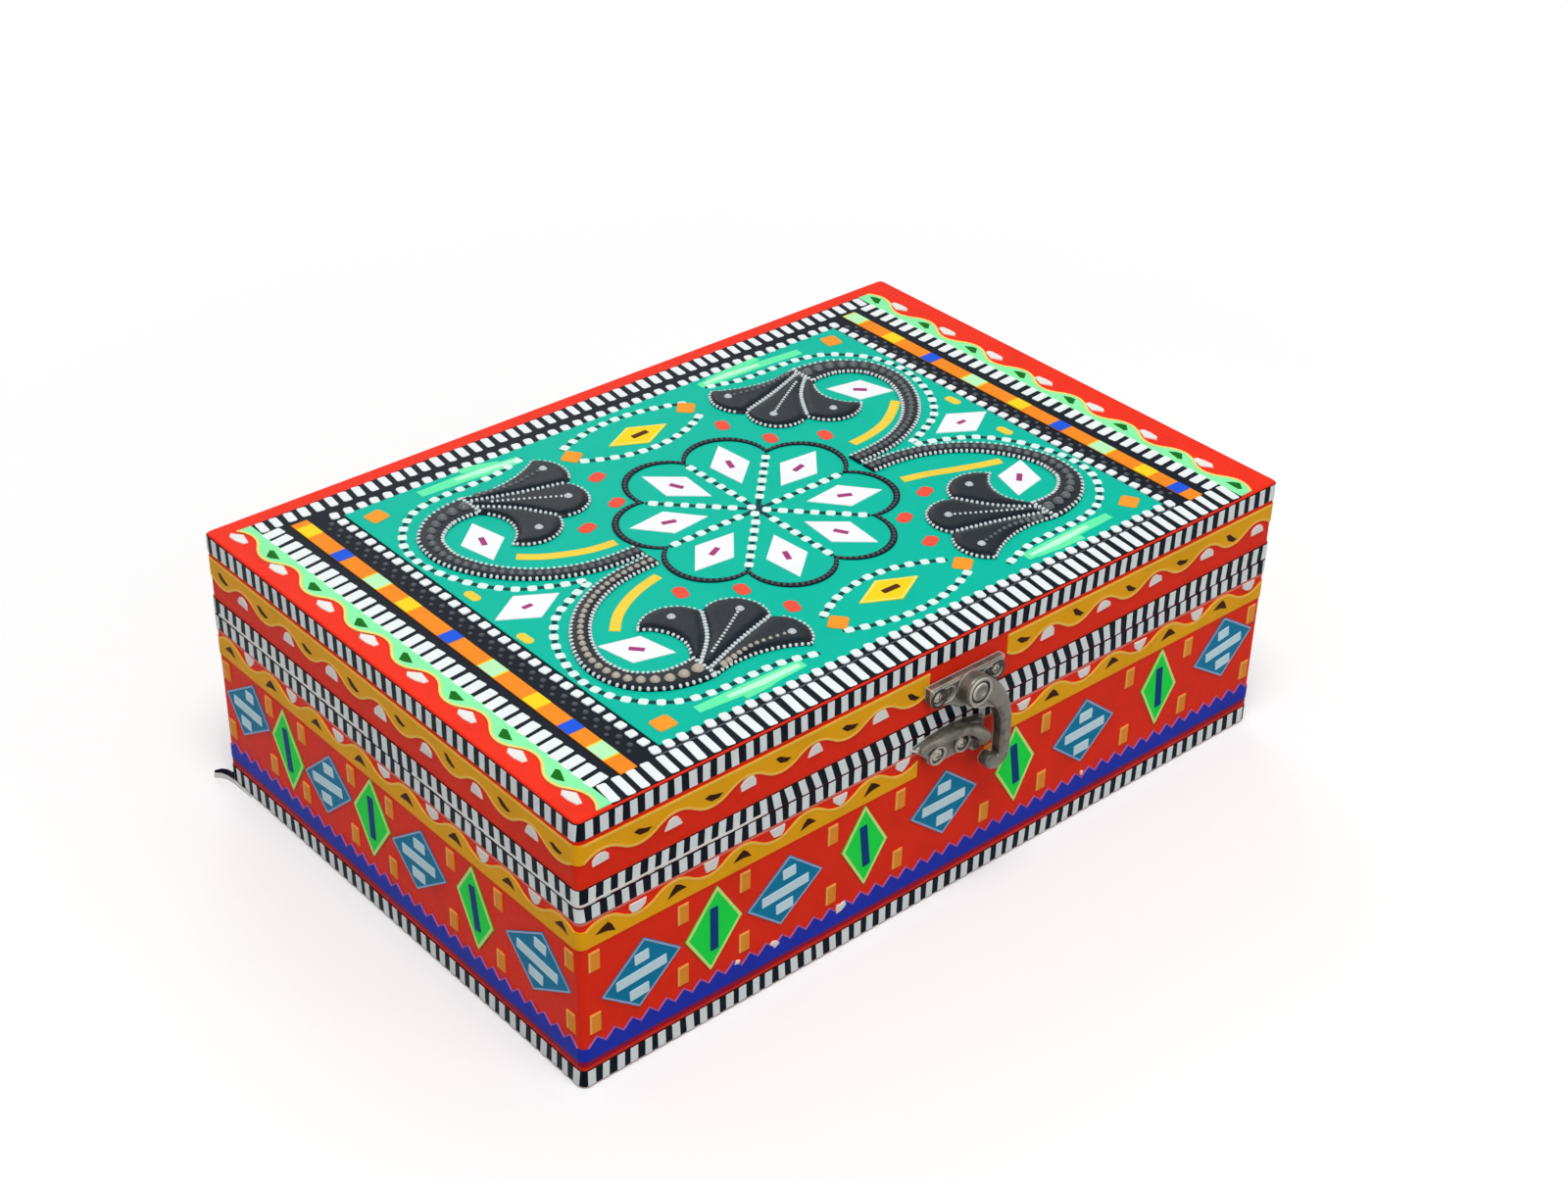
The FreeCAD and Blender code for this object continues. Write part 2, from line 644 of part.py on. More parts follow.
def draw_blue_bands(name, flat):
    return [toothed_band(-flat / 2, flat / 2, blue_band_rise(), size("blue_band_depth"),
                         size("tooth_height"), size("tooth_pitch"))]


# Diamonds of a long and of a short side as they were laid by hand, blue and green in turn: the place of
# each one's middle and its width, as shares of the side's length, its lift as a share of the red field's
# height, the lean of its upright diagonal to the right and the slope of its level one
LONG_SIDE = [
    (0.0744, 0.1, -0.056, 0.08, 0.12), (0.1667, 0.074, 0.0, 0.08, 0.0), (0.2614, 0.102, 0.0, 0.13, 0.07),
    (0.3714, 0.065, 0.022, -0.02, -0.15), (0.4867, 0.099, 0.034, 0.0, 0.02),
    (0.594, 0.061, 0.04, -0.06, 0.0), (0.7038, 0.098, -0.007, 0.02, 0.05),
    (0.8276, 0.061, 0.034, 0.0, -0.2), (0.9379, 0.1, 0.104, -0.08, 0.14),
]
SHORT_SIDE = [
    (0.0856, 0.137, 0.067, 0.37, -0.05), (0.2073, 0.094, -0.007, -0.08, -0.2),
    (0.3287, 0.14, -0.007, 0.155, 0.138), (0.4564, 0.104, 0.04, 0.03, 0.0),
    (0.5876, 0.15, 0.019, 0.158, 0.02), (0.7372, 0.094, 0.015, -0.056, -0.286),
    (0.8976, 0.162, 0.026, 0.213, -0.09),
]


def diamond_row(name):
    """Middle, width, lift, lean and slope of each diamond of a side, from the side's middle."""
    if name in ("front", "back"):
        row, length = LONG_SIDE, size("box_length")
    else:
        row, length = SHORT_SIDE, size("box_width")
    return [((place - 0.5) * length, width * length, *hand) for place, width, *hand in row]


def diamonds(row, gap):
    """Diamonds as high as the red field less a gap above and below."""
    low, high = red_field()
    tall = (high - low) / 2 - size(gap)
    outlines = []
    for x, width, lift, lean, slope in row:
        z = (low + high) / 2 + lift * (high - low)
        out, up = width / 2, lean * tall
        rise = slope * out
        outlines.append(polygon([(x + out, z + rise), (x + up, z + tall),
                                 (x - out, z - rise), (x - up, z - tall)]))
    return outlines


def draw_blue_diamonds(name, flat):
    return diamonds(diamond_row(name)[0::2], "blue_diamond_gap")


def draw_green_diamonds(name, flat):
    return diamonds(diamond_row(name)[1::2], "green_diamond_gap")


def draw_gold_tabs(name, flat):
    """Small upright tabs above and below the gaps between diamonds, and at both ends."""
    row = diamond_row(name)
    gaps = [(a + a_wide / 2 + b - b_wide / 2) / 2 for (a, a_wide, *_), (b, b_wide, *_) in zip(row, row[1:])]
    wide, tall = size("gold_tab_width") / 2, size("gold_tab_height")
    low, high = red_field()
    low, high = low + size("gold_tab_gap"), high - size("gold_tab_gap")
    end = flat / 2 - wide - size("gold_tab_margin")
    outlines = []
    for x in [-end] + gaps + [end]:
        outlines.append(rectangle(x - wide, low, x + wide, low + tall))
        outlines.append(rectangle(x - wide, high - tall, x + wide, high))
    return outlines


side_tape("lid_wavy_bands", draw_lid_bands, LID_DRILLS)
side_tape("base_wavy_bands", draw_base_bands, BASE_DRILLS)
side_tape("base_zigzag_bands", draw_blue_bands)
side_tape("base_blue_diamonds", draw_blue_diamonds)
side_tape("base_green_diamonds", draw_green_diamonds)
side_tape("base_gold_tabs", draw_gold_tabs)


# Tape on the lid's top

FIELD_X = size("box_length") / 2 - size("field_end")
FIELD_Y = size("box_width") / 2 - size("field_side")
PETALS = 8

# Middle line of a scroll's stem and the edge of its fan of three leaves, for the quarter at +X +Y of the
# field, as shares of the way from the flower to the field's end and of the field's half width. The fan's
# edge runs from the stem's outer edge to its inner one, in arcs given by their ends and a point between.
STEM = [(0.03, 0.043), (0.245, 0.053), (0.432, 0.093), (0.608, 0.174), (0.749, 0.296), (0.834, 0.445),
        (0.826, 0.575), (0.768, 0.652), (0.66, 0.712), (0.546, 0.733), (0.448, 0.734)]
FAN = [(0.193, 0.791), (-0.081, 0.873), (-0.174, 0.747), (-0.087, 0.633), (-0.072, 0.464), (0.149, 0.441),
       (0.307, 0.328), (0.502, 0.394), (0.388, 0.525)]

# Middle of the white rhombus in a scroll's curl, in the same shares, and its turn in each quarter
CURL_MIDDLE = (0.6, 0.486)
CURL_TURNS = {(1, 1): -42.0, (-1, 1): 71.0, (-1, -1): -47.0, (1, -1): 43.0}

# How slowly a stem's width starts to grow, as a power of the share of its length
STEM_GROWTH = 3


def scroll_point(share):
    """A point of the quarter at +X +Y from its shares."""
    start = (size("flower_notch") + size("flower_reach")) / 2
    return Vector(start + share[0] * (FIELD_X - start), share[1] * FIELD_Y, 0)


def smooth(points):
    curve = Part.BSplineCurve()
    curve.interpolate(points)
    return curve


def scroll_outline():
    """A stem that widens along a smooth middle line and ends in a fan of three leaves."""
    middle = smooth([scroll_point(share) for share in STEM])
    count = len(STEM)
    inner, outer = [], []
    for number in range(count):
        share = number / (count - 1)
        at = middle.FirstParameter + share * (middle.LastParameter - middle.FirstParameter)
        along = middle.tangent(at)[0]
        half = (size("stem_start") + share ** STEM_GROWTH * (size("stem_end") - size("stem_start"))) / 2
        across = Vector(-along.y, along.x, 0) * half
        inner.append(middle.value(at) + across)
        outer.append(middle.value(at) - across)
    edge = [outer[-1]] + [scroll_point(share) for share in FAN] + [inner[-1]]
    leaves = [Part.Arc(*edge[k:k + 3]) for k in range(0, len(edge) - 2, 2)]
    return [smooth(outer)] + leaves + [smooth(inner), Part.LineSegment(inner[0], outer[0])]


def moved(outline, matrix):
    """A copy of an outline, moved by a matrix."""
    copies = [curve.copy() for curve in outline]
    for curve in copies:
        curve.transform(matrix)
    return copies


def four_quarters(outline):
    """An outline of the quarter at +X +Y and its three mirror images."""
    outlines = []
    for x_sign in (1, -1):
        for y_sign in (1, -1):
            matrix = FreeCAD.Matrix()
            matrix.scale(x_sign, y_sign, 1)
            outlines.append(moved(outline, matrix))
    return outlines


def scallop_bands():
    """Bands at both ends of the top with their straight edge on the black sheet and scallops outwards: the
    left one starts with a hollow, the right one with a bulge."""
    half = size("box_width") / 2 - size("black_sheet_side")
    edge = size("box_length") / 2 - size("black_sheet_end")
    outlines = []
    for turn, first in ((90, -1), (-90, 1)):
        band = waved_band(-half, half, edge, size("scallop_depth"), first * size("scallop_height"),
                          size("scallop_pitch"))
        matrix = FreeCAD.Matrix()
        matrix.rotateZ(math.radians(turn))
        outlines.append(moved(band, matrix))
    return outlines


def orange_bands():
    outer = size("box_length") / 2 - size("orange_band_inset")
    inner = outer - size("orange_band_width")
    half = size("box_width") / 2 - size("orange_band_side")
    return [rectangle(inner, -half, outer, half), rectangle(-outer, -half, -inner, half)]


def flower_ring(inset):
    """Eight arcs round the middle, from notch to notch over the petals' tips."""
    notch, tip = size("flower_notch") - inset, size("flower_reach") - inset
    step = 2 * math.pi / PETALS

    def at(radius, turn):
        return radius * math.cos(turn), radius * math.sin(turn)

    return [arc(at(notch, k * step), at(tip, (k + 0.5) * step), at(notch, (k + 1) * step))
            for k in range(PETALS)]


def white_rhombi():
    """One in each petal, one in each scroll's curl and one at each end of the field."""
    outlines = []
    for petal in range(PETALS):
        turn = (petal + 0.5) * 2 * math.pi / PETALS
        radius = size("petal_rhombus_radius")
        outlines.append(rhombus(radius * math.cos(turn), radius * math.sin(turn),
                                size("rhombus_length"), size("rhombus_width"), turn))
    curl = scroll_point(CURL_MIDDLE)
    for (x_sign, y_sign), turn in CURL_TURNS.items():
        outlines.append(rhombus(curl.x * x_sign, curl.y * y_sign, size("curl_rhombus_length"),
                                size("curl_rhombus_width"), math.radians(turn)))
    end = FIELD_X - size("end_rhombus_gap") - size("end_rhombus_length") / 2
    for x in (end, -end):
        outlines.append(rhombus(x, 0, size("end_rhombus_length"), size("end_rhombus_width")))
    return outlines


def yellow_diamonds():
    """One at each long side of the flower."""
    long, wide = size("yellow_length"), size("yellow_width")
    return [rhombus(0, side * size("leaf_middle"), long, wide) for side in (-1, 1)]


top_sheet("lid_black_sheet", "@black_sheet_end", "@black_sheet_side", 0, SHEET_MIDDLE)
top_tape("lid_scallop_bands", scallop_bands(), 0, SHEET_MIDDLE)
top_tape("lid_orange_bands", orange_bands(), 1, SHEET_MIDDLE)
top_sheet("lid_teal_field", "@field_end", "@field_side", 1, FIELD_MIDDLE)
top_tape("lid_flower_outline", [flower_ring(0), flower_ring(size("flower_line"))], 2, FIELD_MIDDLE)
top_tape("lid_white_rhombi", white_rhombi(), 2, FIELD_MIDDLE)
top_tape("lid_yellow_diamonds", yellow_diamonds(), 2, FIELD_MIDDLE)
top_tape("lid_scrolls", four_quarters(scroll_outline()), 2, FIELD_MIDDLE)


# Latch: plate, rivet and hook on the lid, arched catch with its post on the base

HOOK_BACK = f"{PLATE_FRONT} - @plate_rim - @slide_gap"


def front_edges(feature):
    """Picks the edges that lie in the foremost plane of a feature."""
    front = feature.Shape.BoundBox.YMin

    def picked(edge):
        return edge.BoundBox.YMax < front + 1e-6

    return picked


def round_holes(body, name, places, radius):
    """Holes right through a body, along y."""
    sketch = sketch_on(body, "XZ_Plane", name)
    for x, z in places:
        sketch.addGeometry(circle(x, z, radius))
    pocket(body, sketch, symmetric=True)


def level_slot(start, end, radius):
    """A slot with round ends along x, about the origin's height."""
    return [
        line(start, radius, end, radius),
        arc((end, radius), (end + radius, 0), (end, -radius)),
        line(end, -radius, start, -radius),
        arc((start, -radius), (start - radius, 0), (start, radius)),
    ]


# Turn from straight down, in degrees, at which the plate's lobe under the hook's eye begins
LOBE_TURN = 50.0


def latch_plate():
    """Straight top, rounded ears with hollows for the screws and a round lobe under the hook's eye."""
    body = doc.addObject("PartDesign::Body", "latch_plate")
    spread, top = size("plate_screw_spread"), size("plate_top")
    hollow = size("screw_head_radius") + size("hollow_gap")
    ear = hollow + size("plate_wall")
    lobe = size("eye_radius") + size("plate_lip")
    wide = spread + ear
    side = ear * math.sqrt(0.5)
    foot_x = lobe * math.sin(math.radians(LOBE_TURN))
    foot_z = -lobe * math.cos(math.radians(LOBE_TURN))
    outline = sketch_on(body, "XZ_Plane", "latch_plate_outline")
    outline.addGeometry([
        line(-wide, top, wide, top),
        line(wide, top, wide, 0),
        arc((wide, 0), (spread + side, -side), (spread, -ear)),
        line(spread, -ear, foot_x, foot_z),
        arc((foot_x, foot_z), (0, -lobe), (-foot_x, foot_z)),
        line(-foot_x, foot_z, -spread, -ear),
        arc((-spread, -ear), (-spread - side, -side), (-wide, 0)),
        line(-wide, 0, -wide, top),
    ])
    plate = pad(body, outline, "@plate_thickness + @plate_rim")
    edge_feature(body, "Chamfer", plate, front_edges(plate), "Size", "@bevel")
    hollows = sketch_on(body, "XZ_Plane", "latch_plate_hollows")
    hollows.AttachmentOffset = FreeCAD.Placement(Vector(0, 0, size("plate_thickness")), FreeCAD.Rotation())
    hollows.addGeometry(level_slot(-spread, -lobe, hollow))
    hollows.addGeometry(level_slot(lobe, spread, hollow))
    pocket(body, hollows, "@plate_rim", reverse=True)
    hole = size("screw_radius") + size("running_gap")
    round_holes(body, "latch_plate_screw_holes", [(-spread, 0), (spread, 0)], hole)
    round_holes(body, "latch_plate_rivet_hole", [(0, 0)], size("rivet_radius") + size("running_gap"))
    place(body, "@latch_middle", FRONT_FACE, LATCH_RISE)
    return sub_part(body, "latch_plate")


# Turn of the hook's curl, places on the eye where the arm's two edges leave it, and fullness of the
# inner shoulder
HOOK_CURL = 155.0
HOOK_ROOT = 60.0
HOOK_WAIST = 0.95


def hook_outline():
    """The hook seen from the front: a round eye, a shoulder that narrows to the arm, and a curled tip."""
    eye, reach, half = size("eye_radius"), size("hook_reach"), size("hook_arm") / 2
    drop, curl = size("hook_drop"), size("curl_radius")
    outer, inner = reach + half, reach - half
    curl_x = reach - curl
    tip_turn = math.radians(-HOOK_CURL)
    root_turn = math.radians(HOOK_ROOT)
    bend = (outer - eye * math.cos(root_turn)) / (1 - math.cos(root_turn))
    bend_x, shoulder = (eye - bend) * math.cos(root_turn), (eye - bend) * math.sin(root_turn)

    def on_circle(x, z, radius, turn):
        return x + radius * math.cos(turn), z + radius * math.sin(turn)

    def on_curl(radius, turn):
        return on_circle(curl_x, -drop, radius, turn)

    tip_x, tip_z = on_curl(curl, tip_turn)
    tip = (tip_x + half * math.sin(tip_turn), tip_z - half * math.cos(tip_turn))
    top, root = on_circle(0, 0, eye, root_turn), on_circle(0, 0, eye, -root_turn)
    neck = (inner, (shoulder - drop) / 2)
    waist = ((root[0] + neck[0]) / 2 + half * HOOK_WAIST, (root[1] + neck[1]) / 2 + half * HOOK_WAIST)
    return [
        arc(top, on_circle(bend_x, shoulder, bend, root_turn / 2), (outer, shoulder)),
        line(outer, shoulder, outer, -drop),
        arc((outer, -drop), on_curl(curl + half, tip_turn / 2), on_curl(curl + half, tip_turn)),
        arc(on_curl(curl + half, tip_turn), tip, on_curl(curl - half, tip_turn)),
        arc(on_curl(curl - half, tip_turn), on_curl(curl - half, tip_turn / 2), (inner, -drop)),
        line(inner, -drop, *neck),
        arc(neck, waist, root),
        arc(root, (-eye, 0), top),
    ]


def latch_hook():
    """The cast hook; its arm stands off the plate so that it passes over the screw heads."""
    body = doc.addObject("PartDesign::Body", "latch_hook")
    lift = size("eye_height") - size("hook_thickness")
    arm = sketch_on(body, "XZ_Plane", "latch_hook_arm")
    arm.AttachmentOffset = FreeCAD.Placement(Vector(0, 0, lift), FreeCAD.Rotation())
    arm.addGeometry(hook_outline())
    pad(body, arm, "@hook_thickness")
    boss = sketch_on(body, "XZ_Plane", "latch_hook_eye")
    boss.addGeometry(circle(0, 0, size("eye_radius")))
    cast = pad(body, boss, "@eye_height")
    edge_feature(body, "Fillet", cast, front_edges(cast), "Radius", "@hook_round")
    round_holes(body, "latch_hook_bore", [(0, 0)], size("rivet_radius") + size("running_gap"))
    place(body, "@latch_middle", HOOK_BACK, LATCH_RISE)
    return sub_part(body, "latch_hook")


def latch_rivet():
    """Shank through plate and hook, a thin collar on the plate, and a round head with a dimple."""
    body = doc.addObject("PartDesign::Body", "latch_rivet")
    shank, head, tall = size("rivet_radius"), size("rivet_head_radius"), size("rivet_head_height")
    plate = size("plate_thickness") + size("plate_rim")
    collar = plate + size("slide_gap") / 2
    under = plate + size("eye_height") + 2 * size("slide_gap")
    dimple = shank / 2
    dome_out, dome_up = cap_middle(head - dimple, tall)
    profile = sketch_on(body, "YZ_Plane", "latch_rivet_profile")
    points = [(0, 0), (0, shank), (-plate, shank), (-plate, head), (-collar, head), (-collar, shank),
              (-under, shank), (-under, head)]
    profile.addGeometry([line(*a, *b) for a, b in zip(points, points[1:])])
    profile.addGeometry([
        arc((-under, head), (-under - dome_up, dimple + dome_out), (-under - tall, dimple)),
        line(-under - tall, dimple, -under - tall / 2, 0),
        line(-under - tall / 2, 0, 0, 0),
    ])
    turned = body.newObject("PartDesign::Revolution", "latch_rivet_turned")
    turned.Profile = profile
    turned.ReferenceAxis = (profile, ["H_Axis"])
    place(body, "@latch_middle", FRONT_FACE, LATCH_RISE)
    return sub_part(body, "latch_rivet")


# Turn in degrees at which the catch's tail begins on its right, and how hollow the edge above it is
TAIL_TURN = 20.0
TAIL_WAIST = 0.14


def catch_outline(left, right, tip, crown, first, last):
    """The catch's plate: arched top from tip to tip, rounded below the screws, with a tail at the right."""
    ear, radius = size("catch_ear"), size("tail_radius")
    tail_x, tail_z = size("tail_right"), -size("tail_drop")
    side = ear * math.sqrt(0.5)
    out_x = radius * math.cos(math.radians(TAIL_TURN))
    out_z = radius * math.sin(math.radians(TAIL_TURN))
    hip = (tail_x + out_x, tail_z + out_z)
    waist = ((right + hip[0]) / 2 - TAIL_WAIST * (tip - hip[1]), (tip + hip[1]) / 2)
    return [
        arc((-left, tip), ((right - left) / 2, crown), (right, tip)),
        arc((right, tip), waist, hip),
        arc(hip, (tail_x + out_z, tail_z - out_x), (tail_x - out_x, tail_z - out_z)),
        line(tail_x - out_x, tail_z - out_z, last, -ear),
        line(last, -ear, first, -ear),
        arc((first, -ear), (first - side, -side), (first - ear, 0)),
        line(first - ear, 0, -left, tip),
    ]


def ridge_outline(left, right, tip, crown, wide):
    """An arched ridge along the catch's top edge, with rounded ends."""
    half, rise = (left + right) / 2, crown - tip
    radius = (half ** 2 + rise ** 2) / (2 * rise)
    x, z = (right - left) / 2, crown - radius
    turn = math.asin((half - wide) / radius)
    bulge = math.atan(wide / 2 / (radius - wide / 2))

    def at(distance, angle):
        return x + distance * math.sin(angle), z + distance * math.cos(angle)

    inner, middle = radius - wide, radius - wide / 2
    return [
        arc(at(radius, -turn), at(radius, 0), at(radius, turn)),
        arc(at(radius, turn), at(middle, turn + bulge), at(inner, turn)),
        arc(at(inner, turn), at(inner, 0), at(inner, -turn)),
        arc(at(inner, -turn), at(middle, -turn - bulge), at(radius, -turn)),
    ]


def latch_catch():
    """The cast catch: a thin plate under the screws, an arched ridge above them, and the hook's post."""
    body = doc.addObject("PartDesign::Body", "latch_catch")
    left, right = size("catch_left"), size("catch_right")
    tip, crown, wide = size("arch_tip"), size("arch_crown"), size("arch_width")
    first = -size("catch_screw_left")
    last = first + size("catch_screw_pitch")
    outline = sketch_on(body, "XZ_Plane", "latch_catch_outline")
    outline.addGeometry(catch_outline(left, right, tip, crown, first, last))
    plate = pad(body, outline, "@plate_thickness")
    edge_feature(body, "Chamfer", plate, front_edges(plate), "Size", "@bevel")
    ridge = sketch_on(body, "XZ_Plane", "latch_catch_ridge")
    ridge.addGeometry(ridge_outline(left, right, tip, crown, wide))
    arch = pad(body, ridge, "@arch_height")
    edge_feature(body, "Fillet", arch, front_edges(arch), "Radius", "@arch_round")
    stem = sketch_on(body, "XZ_Plane", "latch_catch_post")
    stem.addGeometry(circle(size("post_right"), size("catch_drop") - size("post_drop"), size("post_radius")))
    post = pad(body, stem, "@post_height")
    edge_feature(body, "Fillet", post, front_edges(post), "Radius", "@post_round")
    hole = size("screw_radius") + size("running_gap")
    round_holes(body, "latch_catch_holes", [(first, 0), (last, 0)], hole)
    place(body, "@latch_middle", FRONT_FACE, f"{LATCH_RISE} - @catch_drop")
    return sub_part(body, "latch_catch")


latch_plate()
latch_rivet()
latch_hook()
latch_catch()
latch_screw = make_screw("latch_screw", "plate_thickness")
screw_group("latch_plate_screws", latch_screw, PLATE_SCREWS, PLATE_FRONT, -1)
screw_group("latch_catch_screws", latch_screw, CATCH_SCREWS, PLATE_FRONT, -1)


# Hinges on the back: two leaves with three knuckles on a headed pin

AXIS_OUT = "@barrel_gap + @barrel_radius"


def hinge_leaf(label, side, up):
    """A leaf with its knuckles: the middle one on the lid's leaf (up = 1), the outer two on the base's."""
    body = doc.addObject("PartDesign::Body", label)
    half, tall = size("leaf_width") / 2, size("leaf_height")
    axis, barrel = size("barrel_gap") + size("barrel_radius"), size("barrel_radius")
    knuckle = half / 3
    clear = barrel + size("knuckle_gap")
    flat = sketch_on(body, "YZ_Plane", label + "_flat")
    flat.addGeometry(rectangle(0, 0, size("leaf_thickness"), up * tall))
    plate = pad(body, flat, "@leaf_width", symmetric=True)

    def far_corner(edge):
        box = edge.BoundBox
        return box.YLength > 1e-6 and box.XLength < 1e-6 and abs(abs(box.ZMin) - tall) < 1e-6

    edge_feature(body, "Fillet", plate, far_corner, "Radius", "@leaf_corner")
    barrel_sketch = sketch_on(body, "YZ_Plane", label + "_barrel")
    barrel_sketch.addGeometry(circle(axis, 0, barrel))
    pad(body, barrel_sketch, "@leaf_width", symmetric=True)
    notches = sketch_on(body, "XZ_Plane", label + "_notches")
    if up > 0:
        spans = [(-half - clear, -knuckle), (knuckle, half + clear)]
    else:
        spans = [(-knuckle - size("knuckle_gap"), knuckle + size("knuckle_gap"))]
    for low, high in spans:
        notches.addGeometry(rectangle(low, -clear, high, clear))
    pocket(body, notches, symmetric=True)
    bore = sketch_on(body, "YZ_Plane", label + "_bore")
    bore.addGeometry(circle(axis, 0, size("pin_radius") + size("running_gap")))
    pocket(body, bore, symmetric=True)
    spread, rise = size("hinge_screw_spread"), up * size("hinge_screw_rise")
    hole = size("screw_radius") + size("running_gap")
    round_holes(body, label + "_holes", [(-spread, rise), (spread, rise)], hole)
    place(body, f"{side} * @hinge_spread", BACK_FACE, HINGE_AXIS_RISE)
    return sub_part(body, label)


def hinge_pin(label, side):
    """A pin with a small rounded head at each end, bearing on the outer knuckles."""
    body = doc.addObject("PartDesign::Body", label)
    half, shank = size("leaf_width") / 2, size("pin_radius")
    head = size("pin_head_radius")
    tip = head / 2
    dome_out, dome_up = cap_middle(head, tip)
    profile = sketch_on(body, "XY_Plane", label + "_profile")
    profile.addGeometry([
        line(-half - tip, 0, half + tip, 0),
        arc((half + tip, 0), (half + dome_up, dome_out), (half, head)),
        line(half, head, half, shank),
        line(half, shank, -half, shank),
        line(-half, shank, -half, head),
        arc((-half, head), (-half - dome_up, dome_out), (-half - tip, 0)),
    ])
    turned = body.newObject("PartDesign::Revolution", label + "_turned")
    turned.Profile = profile
    turned.ReferenceAxis = (profile, ["H_Axis"])
    place(body, f"{side} * @hinge_spread", f"{BACK_FACE} + {AXIS_OUT}", HINGE_AXIS_RISE)
    return sub_part(body, label)


for hinge, hinge_side in HINGES:
    hinge_leaf(f"hinge_{hinge}_base_leaf", hinge_side, -1)
    hinge_leaf(f"hinge_{hinge}_lid_leaf", hinge_side, 1)
    hinge_pin(f"hinge_{hinge}_pin", hinge_side)
hinge_screw = make_screw("hinge_screw", "leaf_thickness")
screw_group("hinge_base_screws", hinge_screw, hinge_screws(-1), LEAF_FRONT, 1)
screw_group("hinge_lid_screws", hinge_screw, hinge_screws(1), LEAF_FRONT, 1)


# Check every object, then write one file per piece

doc.recompute()
for thing in doc.Objects:
    if "Invalid" in thing.State or "Error" in thing.State:
        raise RuntimeError(f"{thing.Label} failed: {thing.State}")
for thing in SUB_PARTS:
    if thing.Shape.isNull() or not thing.Shape.isValid() or not thing.Shape.Solids:
        raise RuntimeError(f"{thing.Label} has no valid solid")

os.makedirs("parts", exist_ok=True)
for thing in SUB_PARTS:
    thing.Shape.exportStep(f"parts/{thing.Label}.step")
    print(f"{thing.Label}: {len(thing.Shape.Solids)} solids, {thing.Shape.Volume:.1f} mm3")
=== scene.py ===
import math
import random
import bpy
from mathutils import Matrix, Vector
from mathutils.geometry import delaunay_2d_cdt


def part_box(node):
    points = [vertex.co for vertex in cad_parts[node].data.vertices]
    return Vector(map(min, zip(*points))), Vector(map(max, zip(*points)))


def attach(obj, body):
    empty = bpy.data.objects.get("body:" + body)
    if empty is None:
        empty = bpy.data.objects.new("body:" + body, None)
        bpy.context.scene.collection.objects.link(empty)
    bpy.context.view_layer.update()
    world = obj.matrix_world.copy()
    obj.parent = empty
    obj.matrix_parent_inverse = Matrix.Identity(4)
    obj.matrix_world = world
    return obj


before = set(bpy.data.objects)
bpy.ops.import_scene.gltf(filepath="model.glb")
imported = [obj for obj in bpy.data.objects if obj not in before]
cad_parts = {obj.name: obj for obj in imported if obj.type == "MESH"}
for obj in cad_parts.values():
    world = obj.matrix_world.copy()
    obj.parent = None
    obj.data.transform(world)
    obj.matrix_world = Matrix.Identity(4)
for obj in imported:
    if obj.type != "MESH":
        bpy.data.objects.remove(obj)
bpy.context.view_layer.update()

# Boards
# The carcass is planed softwood, butt jointed and glued. Film hides it outside, so it shows only inside,
# at the seam and on the underside. The grain runs along the length of each board.

MM = 0.001
GRAIN_ALONG, GRAIN_ACROSS = (0.12, 1, 1), (1, 0.12, 1)
SOCKETS = {1: "NodeSocketFloat", 3: "NodeSocketVector", 4: "NodeSocketColor"}


def srgb(red, green, blue):
    """A colour as a picture gives it, 0 to 255, in the linear form that shaders read."""
    shares = [value / 255 for value in (red, green, blue)]
    return *(share / 12.92 if share <= 0.04045 else ((share + 0.055) / 1.055) ** 2.4 for share in shares), 1.0


def add(tree, kind, inputs=None, **settings):
    """A shader node; each input is a plain value or another node's socket."""
    made = tree.nodes.new(kind)
    for name, value in settings.items():
        setattr(made, name, value)
    for name, value in (inputs or {}).items():
        if isinstance(value, bpy.types.NodeSocket):
            tree.links.new(value, made.inputs[name])
        else:
            made.inputs[name].default_value = value
    return made


def noise(tree, where, scale, detail, **more):
    """A cloudy variation over the surface."""
    inputs = {"Vector": where, "Scale": scale, "Detail": detail, **more}
    return add(tree, "ShaderNodeTexNoise", inputs).outputs["Fac"]


def ramp(tree, factor, *stops):
    """A ramp over a value, with stops of place and grey level."""
    made = add(tree, "ShaderNodeValToRGB", {"Fac": factor})
    while len(made.color_ramp.elements) < len(stops):
        made.color_ramp.elements.new(0.5)
    for element, (place, grey) in zip(made.color_ramp.elements, stops):
        element.position = place
        element.color = (grey, grey, grey, 1.0)
    return made.outputs["Color"]


def mixed(tree, factor, first, second, blend="MIX"):
    """Two colours blended."""
    made = add(tree, "ShaderNodeMix", {0: factor, 6: first, 7: second}, data_type="RGBA", blend_type=blend)
    return made.outputs[2]


def skin(name, **inputs):
    """A node group for the colour, roughness and height of a surface: its tree, the place and its inputs."""
    tree = bpy.data.node_groups.new(name, "ShaderNodeTree")
    for label, value in inputs.items():
        kind = SOCKETS[len(value) if isinstance(value, tuple) else 1]
        tree.interface.new_socket(label, in_out="INPUT", socket_type=kind).default_value = value
    for label, size in (("Base Color", 4), ("Roughness", 1), ("Height", 1)):
        tree.interface.new_socket(label, in_out="OUTPUT", socket_type=SOCKETS[size])
    where = add(tree, "ShaderNodeTexCoord").outputs["Object"]
    return tree, where, tree.nodes.new("NodeGroupInput").outputs


def give(tree, colour, roughness, height):
    """Ends a skin with what it gives out."""
    add(tree, "NodeGroupOutput", {"Base Color": colour, "Roughness": roughness, "Height": height})


